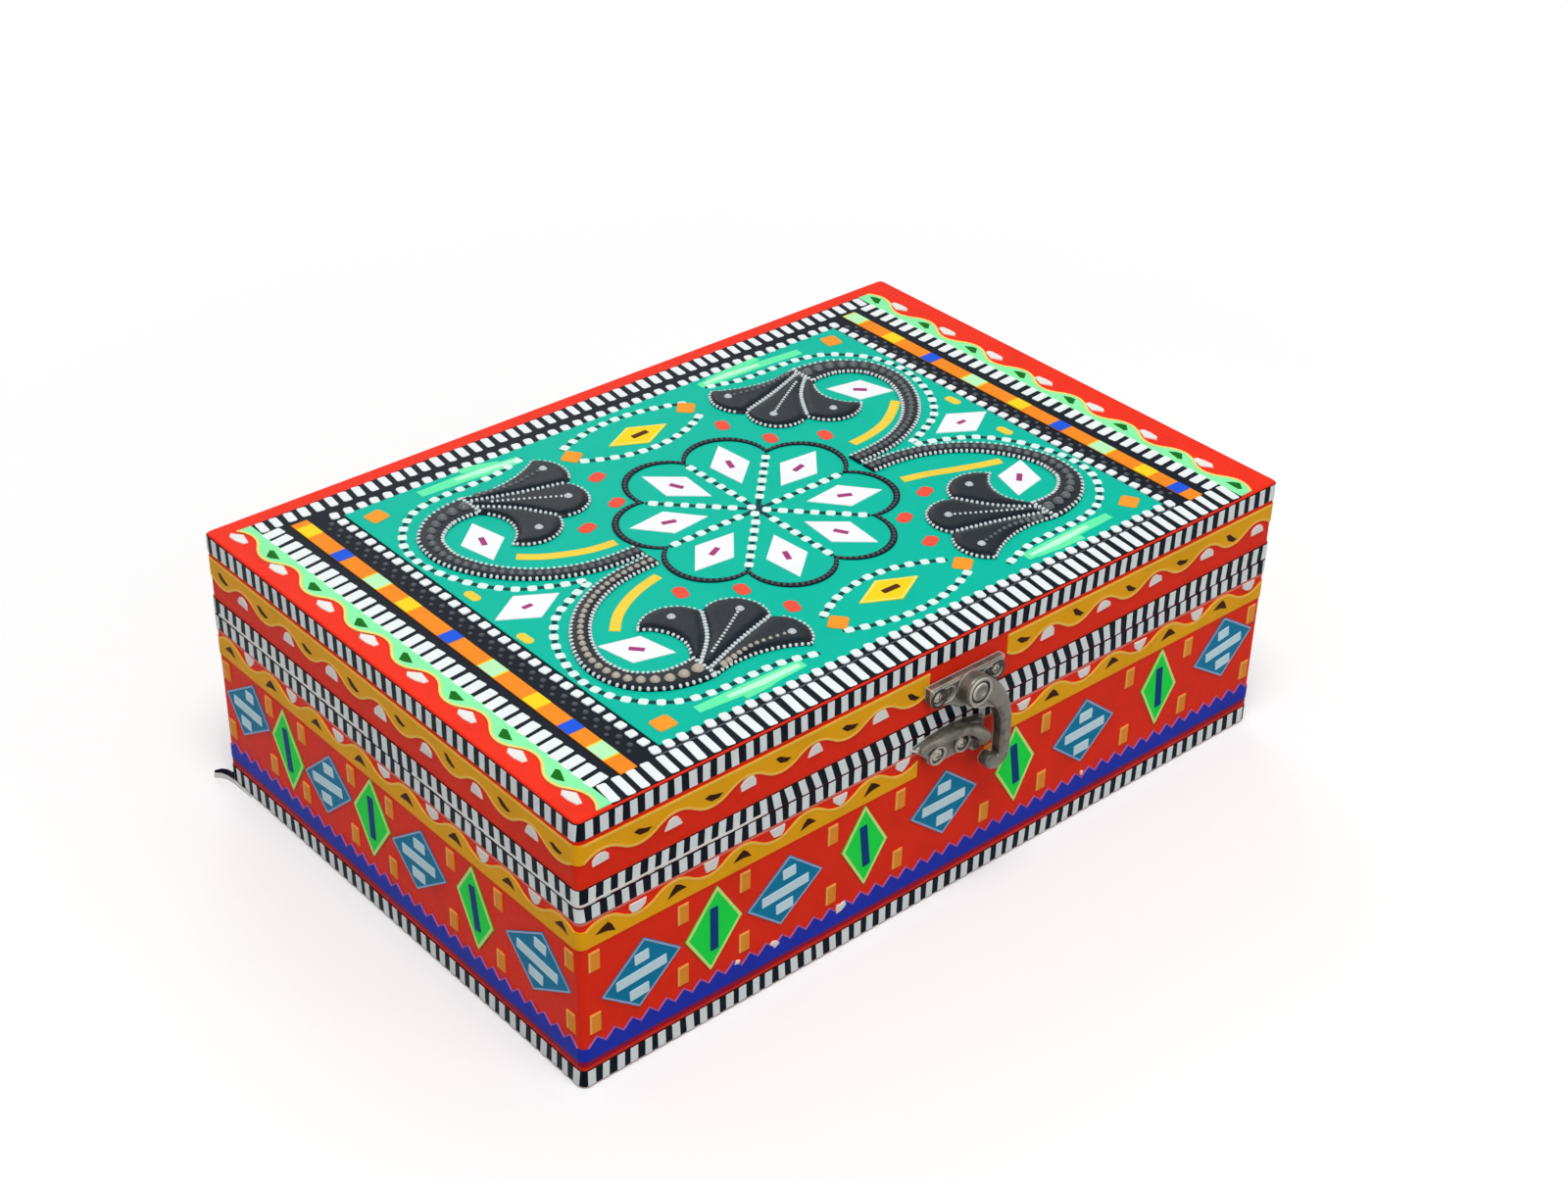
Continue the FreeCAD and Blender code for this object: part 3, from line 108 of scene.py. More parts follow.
def finish(name, surface, bump, depth, values=None, **sockets):
    """A material whose colour, roughness and relief come from a skin with its own values."""
    material = bpy.data.materials.new(name)
    material.use_nodes = True
    tree = material.node_tree
    shader = tree.nodes["Principled BSDF"]
    pattern = add(tree, "ShaderNodeGroup", values, node_tree=surface).outputs
    relief = add(tree, "ShaderNodeBump", {"Strength": bump, "Distance": depth, "Height": pattern["Height"]})
    for socket in (pattern["Base Color"], pattern["Roughness"], relief.outputs["Normal"]):
        tree.links.new(socket, shader.inputs[socket.name])
    for label, value in sockets.items():
        shader.inputs[label.replace("_", " ")].default_value = value
    return material


def dress(material, *nodes):
    """Gives CAD nodes a material."""
    for node in nodes:
        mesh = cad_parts[node].data
        mesh.materials.clear()
        mesh.materials.append(material)


wood_grain, where, given = skin("wood_grain", Pale=srgb(214, 178, 132), Dark=srgb(158, 112, 68),
                                Stretch=(1, 1, 1))
factors = {0: where, 1: given["Stretch"]}
along = add(wood_grain, "ShaderNodeVectorMath", factors, operation="MULTIPLY").outputs[0]
rings = noise(wood_grain, along, 60.0, 4.0, Distortion=0.8)
pores = noise(wood_grain, along, 700.0, 3.0)
tone = ramp(wood_grain, rings, (0.32, 0.0), (0.46, 0.75), (0.52, 0.25), (0.68, 1.0))
bands = mixed(wood_grain, tone, given["Dark"], given["Pale"])
speck = ramp(wood_grain, pores, (0.3, 0.62), (0.5, 1.0))
give(wood_grain, mixed(wood_grain, 0.7, bands, speck, "MULTIPLY"),
     ramp(wood_grain, pores, (0.3, 0.8), (0.7, 0.55)), pores)

for name, grain, boards in (
        ("planed_wood_along", GRAIN_ALONG, ("base_front_wall", "base_back_wall", "base_bottom_panel",
                                            "lid_front_rim", "lid_back_rim", "lid_top_panel")),
        ("planed_wood_across", GRAIN_ACROSS, ("base_left_wall", "base_right_wall",
                                              "lid_left_rim", "lid_right_rim"))):
    dress(finish(name, wood_grain, 0.25, 0.0003, {"Stretch": grain}), *boards)

# Linings
# Two sheets of thin felt, cut a little small and glued to the inside of the bottom and of the lid's top.
# Short wool fibres give them a fuzzy, uneven surface.

felt_nap, where, given = skin("felt_nap", Wool=srgb(128, 22, 34))
tufts = noise(felt_nap, where, 900.0, 6.0, Roughness=0.75)
fuzz = mixed(felt_nap, 0.8, given["Wool"], ramp(felt_nap, tufts, (0.3, 0.45), (0.7, 1.0)), "MULTIPLY")
cloud = ramp(felt_nap, noise(felt_nap, where, 35.0, 2.0), (0.3, 0.78), (0.7, 1.0))
give(felt_nap, mixed(felt_nap, 0.8, fuzz, cloud, "MULTIPLY"),
     ramp(felt_nap, tufts, (0.3, 1.0), (0.8, 0.85)), tufts)

felt = finish("wine_felt", felt_nap, 0.6, 0.0006, Sheen_Weight=0.1, Sheen_Roughness=0.6,
              Specular_IOR_Level=0.1)
dress(felt, "base_floor_lining", "lid_lining")

# Red film
# Glossy self-adhesive film, wrapped round the base and over the lid. It follows the boards closely,
# with faint ripples where it was smoothed down and a dusting of fine specks.

DUST = (0.75, 0.75, 0.72, 1.0)
TAPE, TAPE_RELIEF = 0.25, 0.0004


def reckon(tree, operation, *values):
    """A number worked out from others."""
    return add(tree, "ShaderNodeMath", dict(enumerate(values)), operation=operation).outputs[0]


tape_skin, where, given = skin("tape_skin", Dye=(0.5, 0.5, 0.5, 1), Patchiness=0.3, Dullness=0.3)
cloud = noise(tape_skin, where, 80.0, 3.0)
grit = noise(tape_skin, where, 1600.0, 3.0)
patch = ramp(tape_skin, cloud, (0.3, 0.7), (0.5, 0.96), (0.7, 1.0))
tinted = mixed(tape_skin, given["Patchiness"], given["Dye"], patch, "MULTIPLY")
dusty = mixed(tape_skin, ramp(tape_skin, grit, (0.72, 0.0), (0.8, 0.06)), tinted, DUST)
swing = reckon(tape_skin, "MULTIPLY_ADD", grit, 0.3, -0.15)
lumps = reckon(tape_skin, "MULTIPLY_ADD", grit, 0.25, cloud)
give(tape_skin, dusty, reckon(tape_skin, "ADD", swing, given["Dullness"]), lumps)


def tape(name, colour, patchiness=0.25, dullness=0.34, bump=0.1, gloss=0.03):
    """Coloured plastic tape."""
    values = {"Dye": srgb(*colour), "Patchiness": patchiness, "Dullness": dullness}
    return finish(name, tape_skin, bump, TAPE_RELIEF, values, Specular_IOR_Level=gloss)


red_film = tape("red_film", (250, 51, 27), 0.3, 0.3)
dress(red_film, "base_covering", "lid_covering")
film_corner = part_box("base_covering")[1]
HALF_LENGTH, HALF_WIDTH = film_corner.x / MM, film_corner.y / MM
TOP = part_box("lid_covering")[1].z / MM

# Barred strips
# Black tape runs round the box in four places: at the lid's top edge, on both sides of the seam and at the
# foot. Short white bars cross it, a little uneven. Those of the lid's lower strip lean in the front's middle.

BAR_PITCH, BAR_WIDTH, BAR_THICK = 4.05, 2.1, 0.1
BAR_STEPS = (1.0, 0.6, 0.2, -0.2, -0.6, -1.0)
BAR_SLIP, BAR_UNEVEN, BAR_TILT, BAR_SHORT = 0.15, 0.2, 0.08, 0.2
SWAY, SWAY_RATE = 0.12, 0.13
LEAN_START, LEAN_END, LEAN_RISE = 44.0, 172.0, 14.0
CORNER = 1.6
CORNER_RUN = CORNER * math.pi / 2
FLATS = [2 * (HALF_LENGTH - CORNER), 2 * (HALF_WIDTH - CORNER)] * 2
AROUND = sum(FLATS) + 4 * CORNER_RUN
black_tape = tape("black_tape", (14, 22, 33), 0.3, 0.28)
white_tape = tape("white_tape", (243, 249, 250), 0.12, 0.36)
dress(black_tape, "base_upper_strip", "base_lower_strip", "lid_upper_strip", "lid_lower_strip")


def drift(hand, reach):
    """The small slip of hand work, either way."""
    return hand.uniform(-reach, reach)


def loft(rings, wrap=True, close=False, foot=False, head=False):
    """Points and faces through rings of points: wrap joins a ring's ends, close the last ring to the first,
    and foot and head fill the first and the last ring."""
    size = len(rings[0])
    points = [point for ring in rings for point in ring]
    faces = []
    for number in range(len(rings) if close else len(rings) - 1):
        here, after = number * size, (number + 1) % len(rings) * size
        for corner in range(size if wrap else size - 1):
            beside = (corner + 1) % size
            faces.append((here + corner, here + beside, after + beside, after + corner))
    if foot:
        faces.append(tuple(range(size - 1, -1, -1)))
    if head:
        faces.append(tuple(range(len(points) - size, len(points))))
    return points, faces


def stick(name, shapes, place, material, body, smooth_faces=False):
    """One piece made of many shapes; place turns a shape's flat point and height into the frame."""
    points, faces = [], []
    for shape_points, shape_faces in shapes:
        start = len(points)
        points += [place(*point) for point in shape_points]
        faces += [tuple(start + corner for corner in face) for face in shape_faces]
    mesh = bpy.data.meshes.new(name)
    mesh.from_pydata(points, [], faces)
    mesh.validate()
    mesh.materials.append(material)
    if smooth_faces:
        mesh.shade_smooth()
    piece = bpy.data.objects.new(name, mesh)
    bpy.context.scene.collection.objects.link(piece)
    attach(piece, body)


def round_box(run, height, out):
    """A point on the tape round the sides; run starts at the front left corner and goes to the right."""
    radius = CORNER + TAPE + out
    run = run % AROUND
    for side, flat in enumerate(FLATS):
        turn = side * math.pi / 2
        along = Vector((math.cos(turn), math.sin(turn), 0))
        outward = Vector((math.sin(turn), -math.cos(turn), 0))
        reach = HALF_WIDTH if side % 2 == 0 else HALF_LENGTH
        bend = max(0.0, run - flat) / CORNER
        spot = (outward * (reach - CORNER + radius * math.cos(bend))
                + along * (min(run, flat) - flat / 2 + radius * math.sin(bend)))
        if run <= flat + CORNER_RUN:
            break
        run -= flat + CORNER_RUN
    return Vector((spot.x, spot.y, height)) * MM


def strip_bars(node, seed, share, slant):
    """White bars across one strip, with the drift of hand work; slant is their lean in the front's middle."""
    bottom, top = (corner.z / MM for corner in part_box(node))
    hand = random.Random(seed)
    count = round(AROUND / BAR_PITCH)
    bars = []
    for number in range(count):
        middle = (number + share) * AROUND / count + drift(hand, BAR_SLIP)
        half = (BAR_WIDTH + drift(hand, BAR_UNEVEN)) / 2
        lean = SWAY * math.sin(number * SWAY_RATE + seed) + drift(hand, BAR_TILT)
        lean -= slant * min(1.0, max(0.0, min(middle - LEAN_START, LEAN_END - middle) / LEAN_RISE))
        foot, head = bottom + hand.uniform(0.0, BAR_SHORT), top - hand.uniform(0.0, BAR_SHORT)
        rows = []
        for step in BAR_STEPS:
            low, high = middle - lean + half * step, middle + lean + half * step
            rows.append([(low, foot, 0.0), (low, foot, BAR_THICK),
                         (high, head, BAR_THICK), (high, head, 0.0)])
        bars.append(loft(rows, wrap=False, foot=True, head=True))
    return bars


for node, body, seed, share, slant in (
        ("base_lower_strip", "base", 3, 0.2, 0.0), ("base_upper_strip", "base", 5, 0.7, 0.15),
        ("lid_lower_strip", "lid", 7, 0.5, 0.8), ("lid_upper_strip", "lid", 9, 0.4, 0.0)):
    stick(node + "_bars", strip_bars(node, seed, share, slant), round_box, white_tape, body)

# Wavy bands
# Mustard tape with one edge cut in waves, one run on each side above and below the seam, broken at the latch.
# A paler line follows the cut. White half-drops sit in the hollows of the waves, brown snips in the bulges.

WAVE, WAVE_HEIGHT, WAVE_PARTS = 20.0, 1.8, 8
EDGE_IN, EDGE_WIDE, LINE_THICK = 0.35, 0.6, 0.07
MARK_IN, DROP_OUT, DROP_THICK = 1.3, 1.7, 0.34
LID_STARTS = {"front": (1, -1), "right": (-1,), "back": (1,), "left": (-1,)}
BASE_STARTS = {"front": (1, -1), "right": (1,), "back": (1,), "left": (1,)}
FISH = [(-2.1, 0.9), (-0.9, 1.1), (0.7, 0.2), (2.2, -0.4), (1.1, -1.0), (-0.8, -0.6)]
PEAK = [(-2.4, -1.0), (-1.0, 0.5), (0.1, 1.3), (1.1, 0.6), (2.4, -1.0), (0.3, -0.75)]
DOME = (0, 28, 58, 90, 125, 155, 180)
RIBBON = ((-0.5, 0.0), (-0.5, 0.6), (-0.4, 1.0), (0.4, 1.0), (0.5, 0.6), (0.5, 0.0))
SIDES = {
    "front": (Vector((0, -1, 0)), Vector((1, 0, 0))),
    "right": (Vector((1, 0, 0)), Vector((0, 1, 0))),
    "back": (Vector((0, 1, 0)), Vector((-1, 0, 0))),
    "left": (Vector((-1, 0, 0)), Vector((0, -1, 0))),
}
mustard_tape = tape("mustard_tape", (255, 182, 26), 0.35)
mustard_edge = tape("mustard_edge_tape", (255, 206, 96), 0.2)
drop_tape = tape("drop_tape", (246, 242, 238), 0.25)
mark_tape = tape("mark_tape", (58, 30, 10), 0.2)
dress(mustard_tape, "lid_wavy_bands", "base_wavy_bands")


def reach_of(side):
    """Distance of a side's film from the middle of the box."""
    return HALF_WIDTH if SIDES[side][0].y else HALF_LENGTH


def on_side(side, layer=1, lift=0.0):
    """Turns a point along a side, its height and its distance off the tape into a point in the frame."""
    outward, along = SIDES[side]
    reach = reach_of(side) + layer * TAPE + lift
    return lambda run, height, out: (outward * (reach + out) + along * run + Vector((0, 0, height))) * MM


def cut_outs(node):
    """The separate cut-outs of a CAD node by side: the corner points of each, along the side and upwards."""
    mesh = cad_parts[node].data
    keys, home = {}, {}

    def root(key):
        while home[key] != key:
            key = home[key]
        return key

    for vertex in mesh.vertices:
        keys[vertex.index] = tuple(round(value, 6) for value in vertex.co)
        home.setdefault(keys[vertex.index], keys[vertex.index])
    for polygon in mesh.polygons:
        corners = [root(keys[corner]) for corner in polygon.vertices]
        for corner in corners[1:]:
            home[root(corner)] = root(corners[0])
    lumps = {}
    for key in home:
        lumps.setdefault(root(key), []).append(Vector(key) / MM)
    found = {side: [] for side in SIDES}
    for points in lumps.values():
        middle = sum(points, Vector()) / len(points)
        side = max(SIDES, key=lambda name: SIDES[name][0].dot(middle) - reach_of(name))
        found[side].append(sorted((SIDES[side][1].dot(point), point.z) for point in points))
    return {side: sorted(cuts) for side, cuts in found.items()}


def span(points):
    """Least and greatest place along a side and height of a cut-out's points."""
    heights = [height for _, height in points]
    return points[0][0], points[-1][0], min(heights), max(heights)


def wave_edge(start, end, mean, first):
    """The waved edge of a run as a line, and the middle and swing of each wave."""
    count = max(1, round(2 * (end - start) / WAVE))
    step = (end - start) / count
    line, waves = [], []
    for number in range(count):
        swing = first * WAVE_HEIGHT * (1 if number % 2 == 0 else -1)
        for part in range(WAVE_PARTS):
            share = part / WAVE_PARTS
            line.append((start + (number + share) * step, mean + swing * (1 - (2 * share - 1) ** 2)))
        waves.append((start + (number + 0.5) * step, swing))
    return line + [(end, mean)], waves


def ribbon(points, width, thick, closed=False):
    """A narrow strip of tape along a line of points, with a slightly narrower top; width may be a list."""
    last = len(points) - 1
    rows = []
    for number, (x, y) in enumerate(points):
        before = points[number - 1] if number or closed else points[0]
        after = points[number + 1] if number < last else points[0 if closed else -1]
        along = Vector((after[0] - before[0], after[1] - before[1])).normalized()
        wide = width[number] if isinstance(width, list) else width
        rows.append([(x - along.y * wide * share, y + along.x * wide * share, out * thick)
                     for share, out in RIBBON])
    return loft(rows, wrap=False, close=closed, foot=not closed, head=not closed)


def snip(outline, thick, shrink=0.12):
    """A flat snip of tape: its outline at the foot and the shoulder, and drawn in a little at the top."""
    turns = zip(outline, outline[1:] + outline[:1])
    if sum(x * y1 - x1 * y for (x, y), (x1, y1) in turns) < 0:
        outline = outline[::-1]
    count = len(outline)
    middle = Vector((sum(x for x, _ in outline) / count, sum(y for _, y in outline) / count))
    top = []
    for x, y in outline:
        inward = middle - Vector((x, y))
        inward = inward * min(0.4, shrink / max(inward.length, 1e-6))
        top.append((x + inward.x, y + inward.y, thick))
    foot, shoulder = ([(x, y, thick * share) for x, y in outline] for share in (0.0, 0.6))
    return loft([foot, shoulder, top], head=True)


def half_drop(hand, x, y, wide, tall):
    """A half-drop cut by hand: flat at y, domed towards y plus tall, as an outline."""
    dome = []
    for turn in map(math.radians, DOME):
        swell = 1 + drift(hand, 0.1)
        dome.append((x + wide / 2 * swell * math.cos(turn),
                     y + tall * swell * math.sin(turn) + drift(hand, 0.2)))
    return dome


def turned(outline, x, y, turn, grow=1.0):
    """An outline turned, enlarged and moved."""
    cos, sin = math.cos(turn) * grow, math.sin(turn) * grow
    return [(x + a * cos - b * sin, y + a * sin + b * cos) for a, b in outline]


def wave_ornaments(node, body, up, starts, seed):
    """Edge line, half-drops and snips of the runs of a wavy band; up is the side that its waves are on."""
    hand = random.Random(seed)
    for side, runs in cut_outs(node).items():
        edges, drops, marks = [], [], []
        for points, first in zip(runs, starts[side]):
            start, end, bottom, top = span(points)
            mean = (top if up > 0 else bottom) - up * WAVE_HEIGHT
            line, waves = wave_edge(start, end, mean, first)
            edges.append(ribbon([(x, y - up * EDGE_IN) for x, y in line], EDGE_WIDE, LINE_THICK))
            if up < 0:
                edges.append(ribbon([(x, top - EDGE_IN) for x in (start, end)], EDGE_WIDE, LINE_THICK))
            for x, swing in waves:
                x += drift(hand, 0.8)
                level = mean + drift(hand, 0.5)
                if swing * up > 0:
                    mark = turned(PEAK if up > 0 else FISH, x, level - up * MARK_IN, hand.uniform(-0.25, 0.2),
                                  hand.uniform(1.0, 1.2))
                    marks.append(snip(mark, LINE_THICK))
                else:
                    wide, tall = hand.uniform(4.2, 5.0), hand.uniform(2.8, 3.3)
                    drop = half_drop(hand, x, level + up * DROP_OUT, wide, -up * tall)
                    drops.append(snip(drop, DROP_THICK))
        for name, shapes, layer, material, slot in (("edges", edges, 1, mustard_edge, "mustard_tape"),
                                                    ("drops", drops, 0, drop_tape, "white_tape"),
                                                    ("marks", marks, 1, mark_tape, "black_tape")):
            stick(f"{node}_{name}_{side}", shapes, on_side(side, layer), material, body)


wave_ornaments("lid_wavy_bands", "lid", -1, LID_STARTS, 21)
wave_ornaments("base_wavy_bands", "base", 1, BASE_STARTS, 22)

# Thin lines
# A pink line of tape runs under the base's upper strip and a dark red one under the blue band, where an
# earlier layer shows. The cut edge of the lid's lower strip is white in places.

RING_STEP, LINE_PROUD = 0.5, 0.12
SAGS = ((0.12, 0.11), (0.06, 0.43))
BACKING_RUNS, BACKING_EDGES, BACKING_PROUD = ((-64.0, 52.0), (-150.0, -84.0)), (0.2, 0.75), 0.05
pink_tape = tape("pink_tape", (255, 132, 118), 0.3)
dark_red_tape = tape("dark_red_tape", (164, 26, 60), 0.4)


def ring_line(low_edge, high_edge, thick, start=0.0, end=AROUND):
    """A narrow line of tape round the box's sides from one run to another, in short lengths."""
    closed = end - start >= AROUND
    count = round((end - start) / RING_STEP)
    section = [(high_edge, 0.0), (high_edge, thick), (low_edge, thick), (low_edge, 0.0)]
    rows = []
    for number in range(count if closed else count + 1):
        run = start + number * (end - start) / count
        sag = sum(depth * math.sin(run * rate) for depth, rate in SAGS)
        rows.append([(run, edge + sag, out - TAPE) for edge, out in section])
    return loft(rows, wrap=False, close=closed)


for name, node, low_edge, high_edge, material in (
        ("base_pink_line", "base_upper_strip", -0.95, -0.25, pink_tape),
        ("base_dark_line", "base_zigzag_bands", -1.7, -0.2, dark_red_tape)):
    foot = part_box(node)[0].z / MM
    line = ring_line(foot + low_edge, foot + high_edge, LINE_PROUD)
    stick(name, [line], round_box, material, "base")
lid_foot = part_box("lid_lower_strip")[0].z / MM
backing_edges = [lid_foot + edge for edge in BACKING_EDGES]
backing = [ring_line(*backing_edges, TAPE + BAR_THICK + BACKING_PROUD, *run) for run in BACKING_RUNS]
stick("lid_strip_backing", backing, round_box, drop_tape, "lid")

# Corner wraps
# The wavy bands and the blue band go on round the corners of the box, so short lengths of the same tape
# bend over each corner between two runs.

TOOTH, TOOTH_HEIGHT = 5.0, 2.4
OVERLAP = 0.05
blue_tape = tape("blue_tape", (36, 56, 190), 0.4)
corner_starts = [sum(FLATS[:number + 1]) + number * CORNER_RUN for number in range(4)]
for name, node, low_cut, high_cut, material, body, slot in (
        ("lid_wavy_corners", "lid_wavy_bands", WAVE_HEIGHT, 0.0, mustard_tape, "lid", "mustard_tape"),
        ("base_wavy_corners", "base_wavy_bands", 0.0, WAVE_HEIGHT, mustard_tape, "base", "mustard_tape"),
        ("base_zigzag_corners", "base_zigzag_bands", 0.0, TOOTH_HEIGHT, blue_tape, "base", "blue_tape")):
    low_edge, high_edge = (corner.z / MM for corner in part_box(node))
    wraps = [ring_line(low_edge + low_cut, high_edge - high_cut, TAPE, start - OVERLAP,
                       start + CORNER_RUN + OVERLAP) for start in corner_starts]
    stick(name, wraps, round_box, material, body)

# Blue bands
# Royal blue tape pinked along its upper edge, above the foot of the base. A violet line follows the teeth,
# where a second tape under it shows, and on the front a few teeth have torn and show the white backing.

VIOLET_WIDE, VIOLET_THICK, VIOLET_UP = 0.42, 0.34, 0.15
TORN, TORN_THICK = [(-69.0, 13.2, 0.8), (-57.4, 12.5, 1.3), (-36.6, 12.8, 1.7), (47.5, 13.4, 0.7)], 0.38
RAG = [(-1.1, -0.3), (-0.2, -0.7), (0.9, -0.6), (1.2, 0.2), (0.3, 0.4), (-0.2, 0.9), (-0.7, 0.4)]
violet_tape = tape("violet_tape", (178, 108, 184), 0.3)
dress(blue_tape, "base_zigzag_bands")
for side, cuts in cut_outs("base_zigzag_bands").items():
    start, end, _, top = span(cuts[0])
    teeth = max(1, round((end - start) / TOOTH))
    step = (end - start) / teeth
    zigzag = [(start + number * step / 2, top + VIOLET_UP - (TOOTH_HEIGHT if number % 2 == 0 else 0.0))
              for number in range(2 * teeth + 1)]
    violet_line = ribbon(zigzag, VIOLET_WIDE, VIOLET_THICK)
    stick(f"base_zigzag_line_{side}", [violet_line], on_side(side, 0), violet_tape, "base")
torn = [snip(turned(RAG, x, z, 0.5 * x, grow), TORN_THICK) for x, z, grow in TORN]
stick("base_torn_teeth", torn, on_side("front", 0), drop_tape, "base")

# Diamonds and tabs
# Steel blue and bright green diamonds alternate in the red field between gold tabs. Blue ones carry three
# pale bars and a pale edge, green ones a navy bar and a lime edge, partly outline and partly painted highlight.
# A lighter line on each gold tab's left and upper edge is painted highlight. All are cut from tape by hand.

PALE_BARS = ((0.62, 2.8), (0.19, 3.0), (0.23, 3.0))
NAVY_LONG, NAVY_WIDE = 12.6, 2.3
INLAY_THICK, INLAY_SHRINK = 0.12, 0.06
BLUE_RIM, GREEN_RIM, TAB_HIGHLIGHT = (0.45, 0.45, LINE_THICK), (0.6, 0.7, LINE_THICK), (0.45, 0.06)
TAB_LEFT, TAB_RIGHT, TAB_FOOT, TAB_HEAD = 0.25, 0.2, 0.2, 0.3
steel_blue = tape("steel_blue_tape", (16, 134, 178), 0.35)
pale_blue = tape("pale_blue_tape", (216, 244, 252), 0.2)
# The pale edges of the diamonds: partly outline, partly painted highlight on the cut edge.
blue_rim_and_highlight = tape("blue_rim_and_highlight_tape", (168, 190, 226), 0.2)
leaf_green = tape("leaf_green_tape", (34, 244, 84), 0.25)
green_rim_and_highlight_tape = tape("green_rim_and_highlight_tape", (224, 255, 150), 0.2)
navy_tape = tape("navy_tape", (12, 66, 136), 0.3)
gold_tape = tape("gold_tape", (252, 158, 52), 0.35)
# A lighter line along each tab's left and upper edge: painted highlight.
gold_highlight = tape("gold_highlight_tape", (255, 204, 122), 0.2)
dress(steel_blue, "base_blue_diamonds")
dress(leaf_green, "base_green_diamonds")
dress(gold_tape, "base_gold_tabs")


def bar(x, y, length, width, turn, clip, thick, shrink=0.12):
    """A straight snip with clipped corners; clip is a share of its width."""
    half, wide, cut = length / 2, width / 2, clip * width
    corners = [(half, wide - cut), (half - cut, wide), (cut - half, wide), (-half, wide - cut),
               (-half, cut - wide), (cut - half, -wide), (half - cut, -wide), (half, cut - wide)]
    return snip(turned(corners, x, y, turn), thick, shrink)


def diamond(points):
    """A diamond's corners, right, top, left and bottom, and its middle."""
    def height(point):
        return point[1]

    ends = (max(points), max(points, key=height), min(points), min(points, key=height))
    corners = [Vector(corner) for corner in ends]
    return corners, sum(corners, Vector((0, 0))) / 4


def rim(corners, middle, inset, width, thick):
    """A line of tape just inside the edge of a cut-out."""
    drawn_in = [corner + (middle - corner).normalized() * inset for corner in corners]
    line = []
    for here, after in zip(drawn_in, drawn_in[1:] + drawn_in[:1]):
        line += [tuple(here.lerp(after, share)) for share in (0.0, 0.03, 0.5, 0.97)]
    return ribbon(line, width, thick, closed=True)


hand = random.Random(31)
blue_cuts, green_cuts = cut_outs("base_blue_diamonds"), cut_outs("base_green_diamonds")
tab_cuts = cut_outs("base_gold_tabs")
for side in SIDES:
    pale_bars, blue_rims_and_highlights, green_rims_and_highlights, navy_bars, tab_highlights = [], [], [], [], []
    for points in blue_cuts[side]:
        corners, middle = diamond(points)
        right_tip, top_tip, left_tip, low_tip = corners
        reach = (right_tip - left_tip).length
        level = (right_tip - left_tip).normalized()
        turn = math.atan2(level.y, level.x) * 0.8 + drift(hand, 0.03)
        blue_rims_and_highlights.append(rim(corners, middle, *BLUE_RIM))
        for tip, (share, width) in zip((middle, top_tip, low_tip), PALE_BARS):
            spot = middle.lerp(tip, 0.5 + drift(hand, 0.04)) + level * drift(hand, 0.5)
            pale_bars.append(bar(spot.x, spot.y, share * reach + drift(hand, 0.5), width, turn, 0.06,
                                 INLAY_THICK, INLAY_SHRINK))
    for points in green_cuts[side]:
        corners, middle = diamond(points)
        upright = corners[1] - corners[3]
        green_rims_and_highlights.append(rim(corners, middle, *GREEN_RIM))
        turn = math.atan2(upright.y, upright.x) + hand.uniform(-0.02, 0.1)
        navy_bars.append(bar(middle.x, middle.y, NAVY_LONG, NAVY_WIDE, turn, 0.08, INLAY_THICK, INLAY_SHRINK))
    # Painted highlight along the left and upper edge of each gold tab.
    for points in tab_cuts[side]:
        start, end, bottom, top = span(points)
        angle = [(start + TAB_LEFT, bottom + TAB_FOOT), (start + TAB_LEFT, top - TAB_HEAD),
                 (end - TAB_RIGHT, top - TAB_HEAD)]
        tab_highlights.append(ribbon(angle, *TAB_HIGHLIGHT))
    for name, shapes, material, slot in (("blue_diamond_bars", pale_bars, pale_blue, "blue_tape"),
                                         ("blue_diamond_rims_and_highlights", blue_rims_and_highlights, blue_rim_and_highlight, "blue_tape"),
                                         ("green_diamond_rims_and_highlights", green_rims_and_highlights, green_rim_and_highlight_tape, "green_tape"),
                                         ("green_diamond_bars", navy_bars, navy_tape, "blue_tape"),
                                         ("gold_tab_highlights", tab_highlights, gold_highlight, "mustard_tape")):
        stick(f"base_{name}_{side}", shapes, on_side(side), material, "base")

# Loose end of the lower strip
# At the back left corner the foot's strip has come away. Its black end stands out past the corner, and its
# white backing shows along the lower edge.

CURL_OUT = [(-114.65, 66.0), (-114.75, 70.5), (-114.9, 74.4), (-115.35, 76.6), (-116.2, 78.3), (-117.5, 79.5)]
END_FOOT, END_HEADS = 0.3, [3.4, 3.3, 3.0, 2.4]
BACKING_FOOT, BACKING_HEADS = 0.1, [0.5, 0.8, 1.1, 1.4, 1.6, 1.6]
BACKING_OUT, BACKING_THICK = 0.27, 0.2


def flap(path, foot, heads, out, thick):
    """A standing strip of tape along a path on the floor, with a height at each point of the path."""
    rows = [[(x - out, y, foot), (x - out - thick, y, foot), (x - out - thick, y, head), (x - out, y, head)]
            for (x, y), head in zip(path, heads)]
    return loft(rows, foot=True, head=True)


def in_frame(x, y, z):
    """A point given in millimetres."""
    return Vector((x, y, z)) * MM


loose_end = flap(CURL_OUT[-len(END_HEADS):], END_FOOT, END_HEADS, 0.0, TAPE)
loose_backing = flap(CURL_OUT, BACKING_FOOT, BACKING_HEADS, BACKING_OUT, BACKING_THICK)
stick("base_strip_flap", [loose_end], in_frame, black_tape, "base")
stick("base_strip_backing", [loose_backing], in_frame, drop_tape, "base")

# Ends of the lid's top
# A mint band with a scalloped outer edge lies along each end of the top, edged in yellow. White half-drops
# stand in its hollows and dark green snips in its bulges.

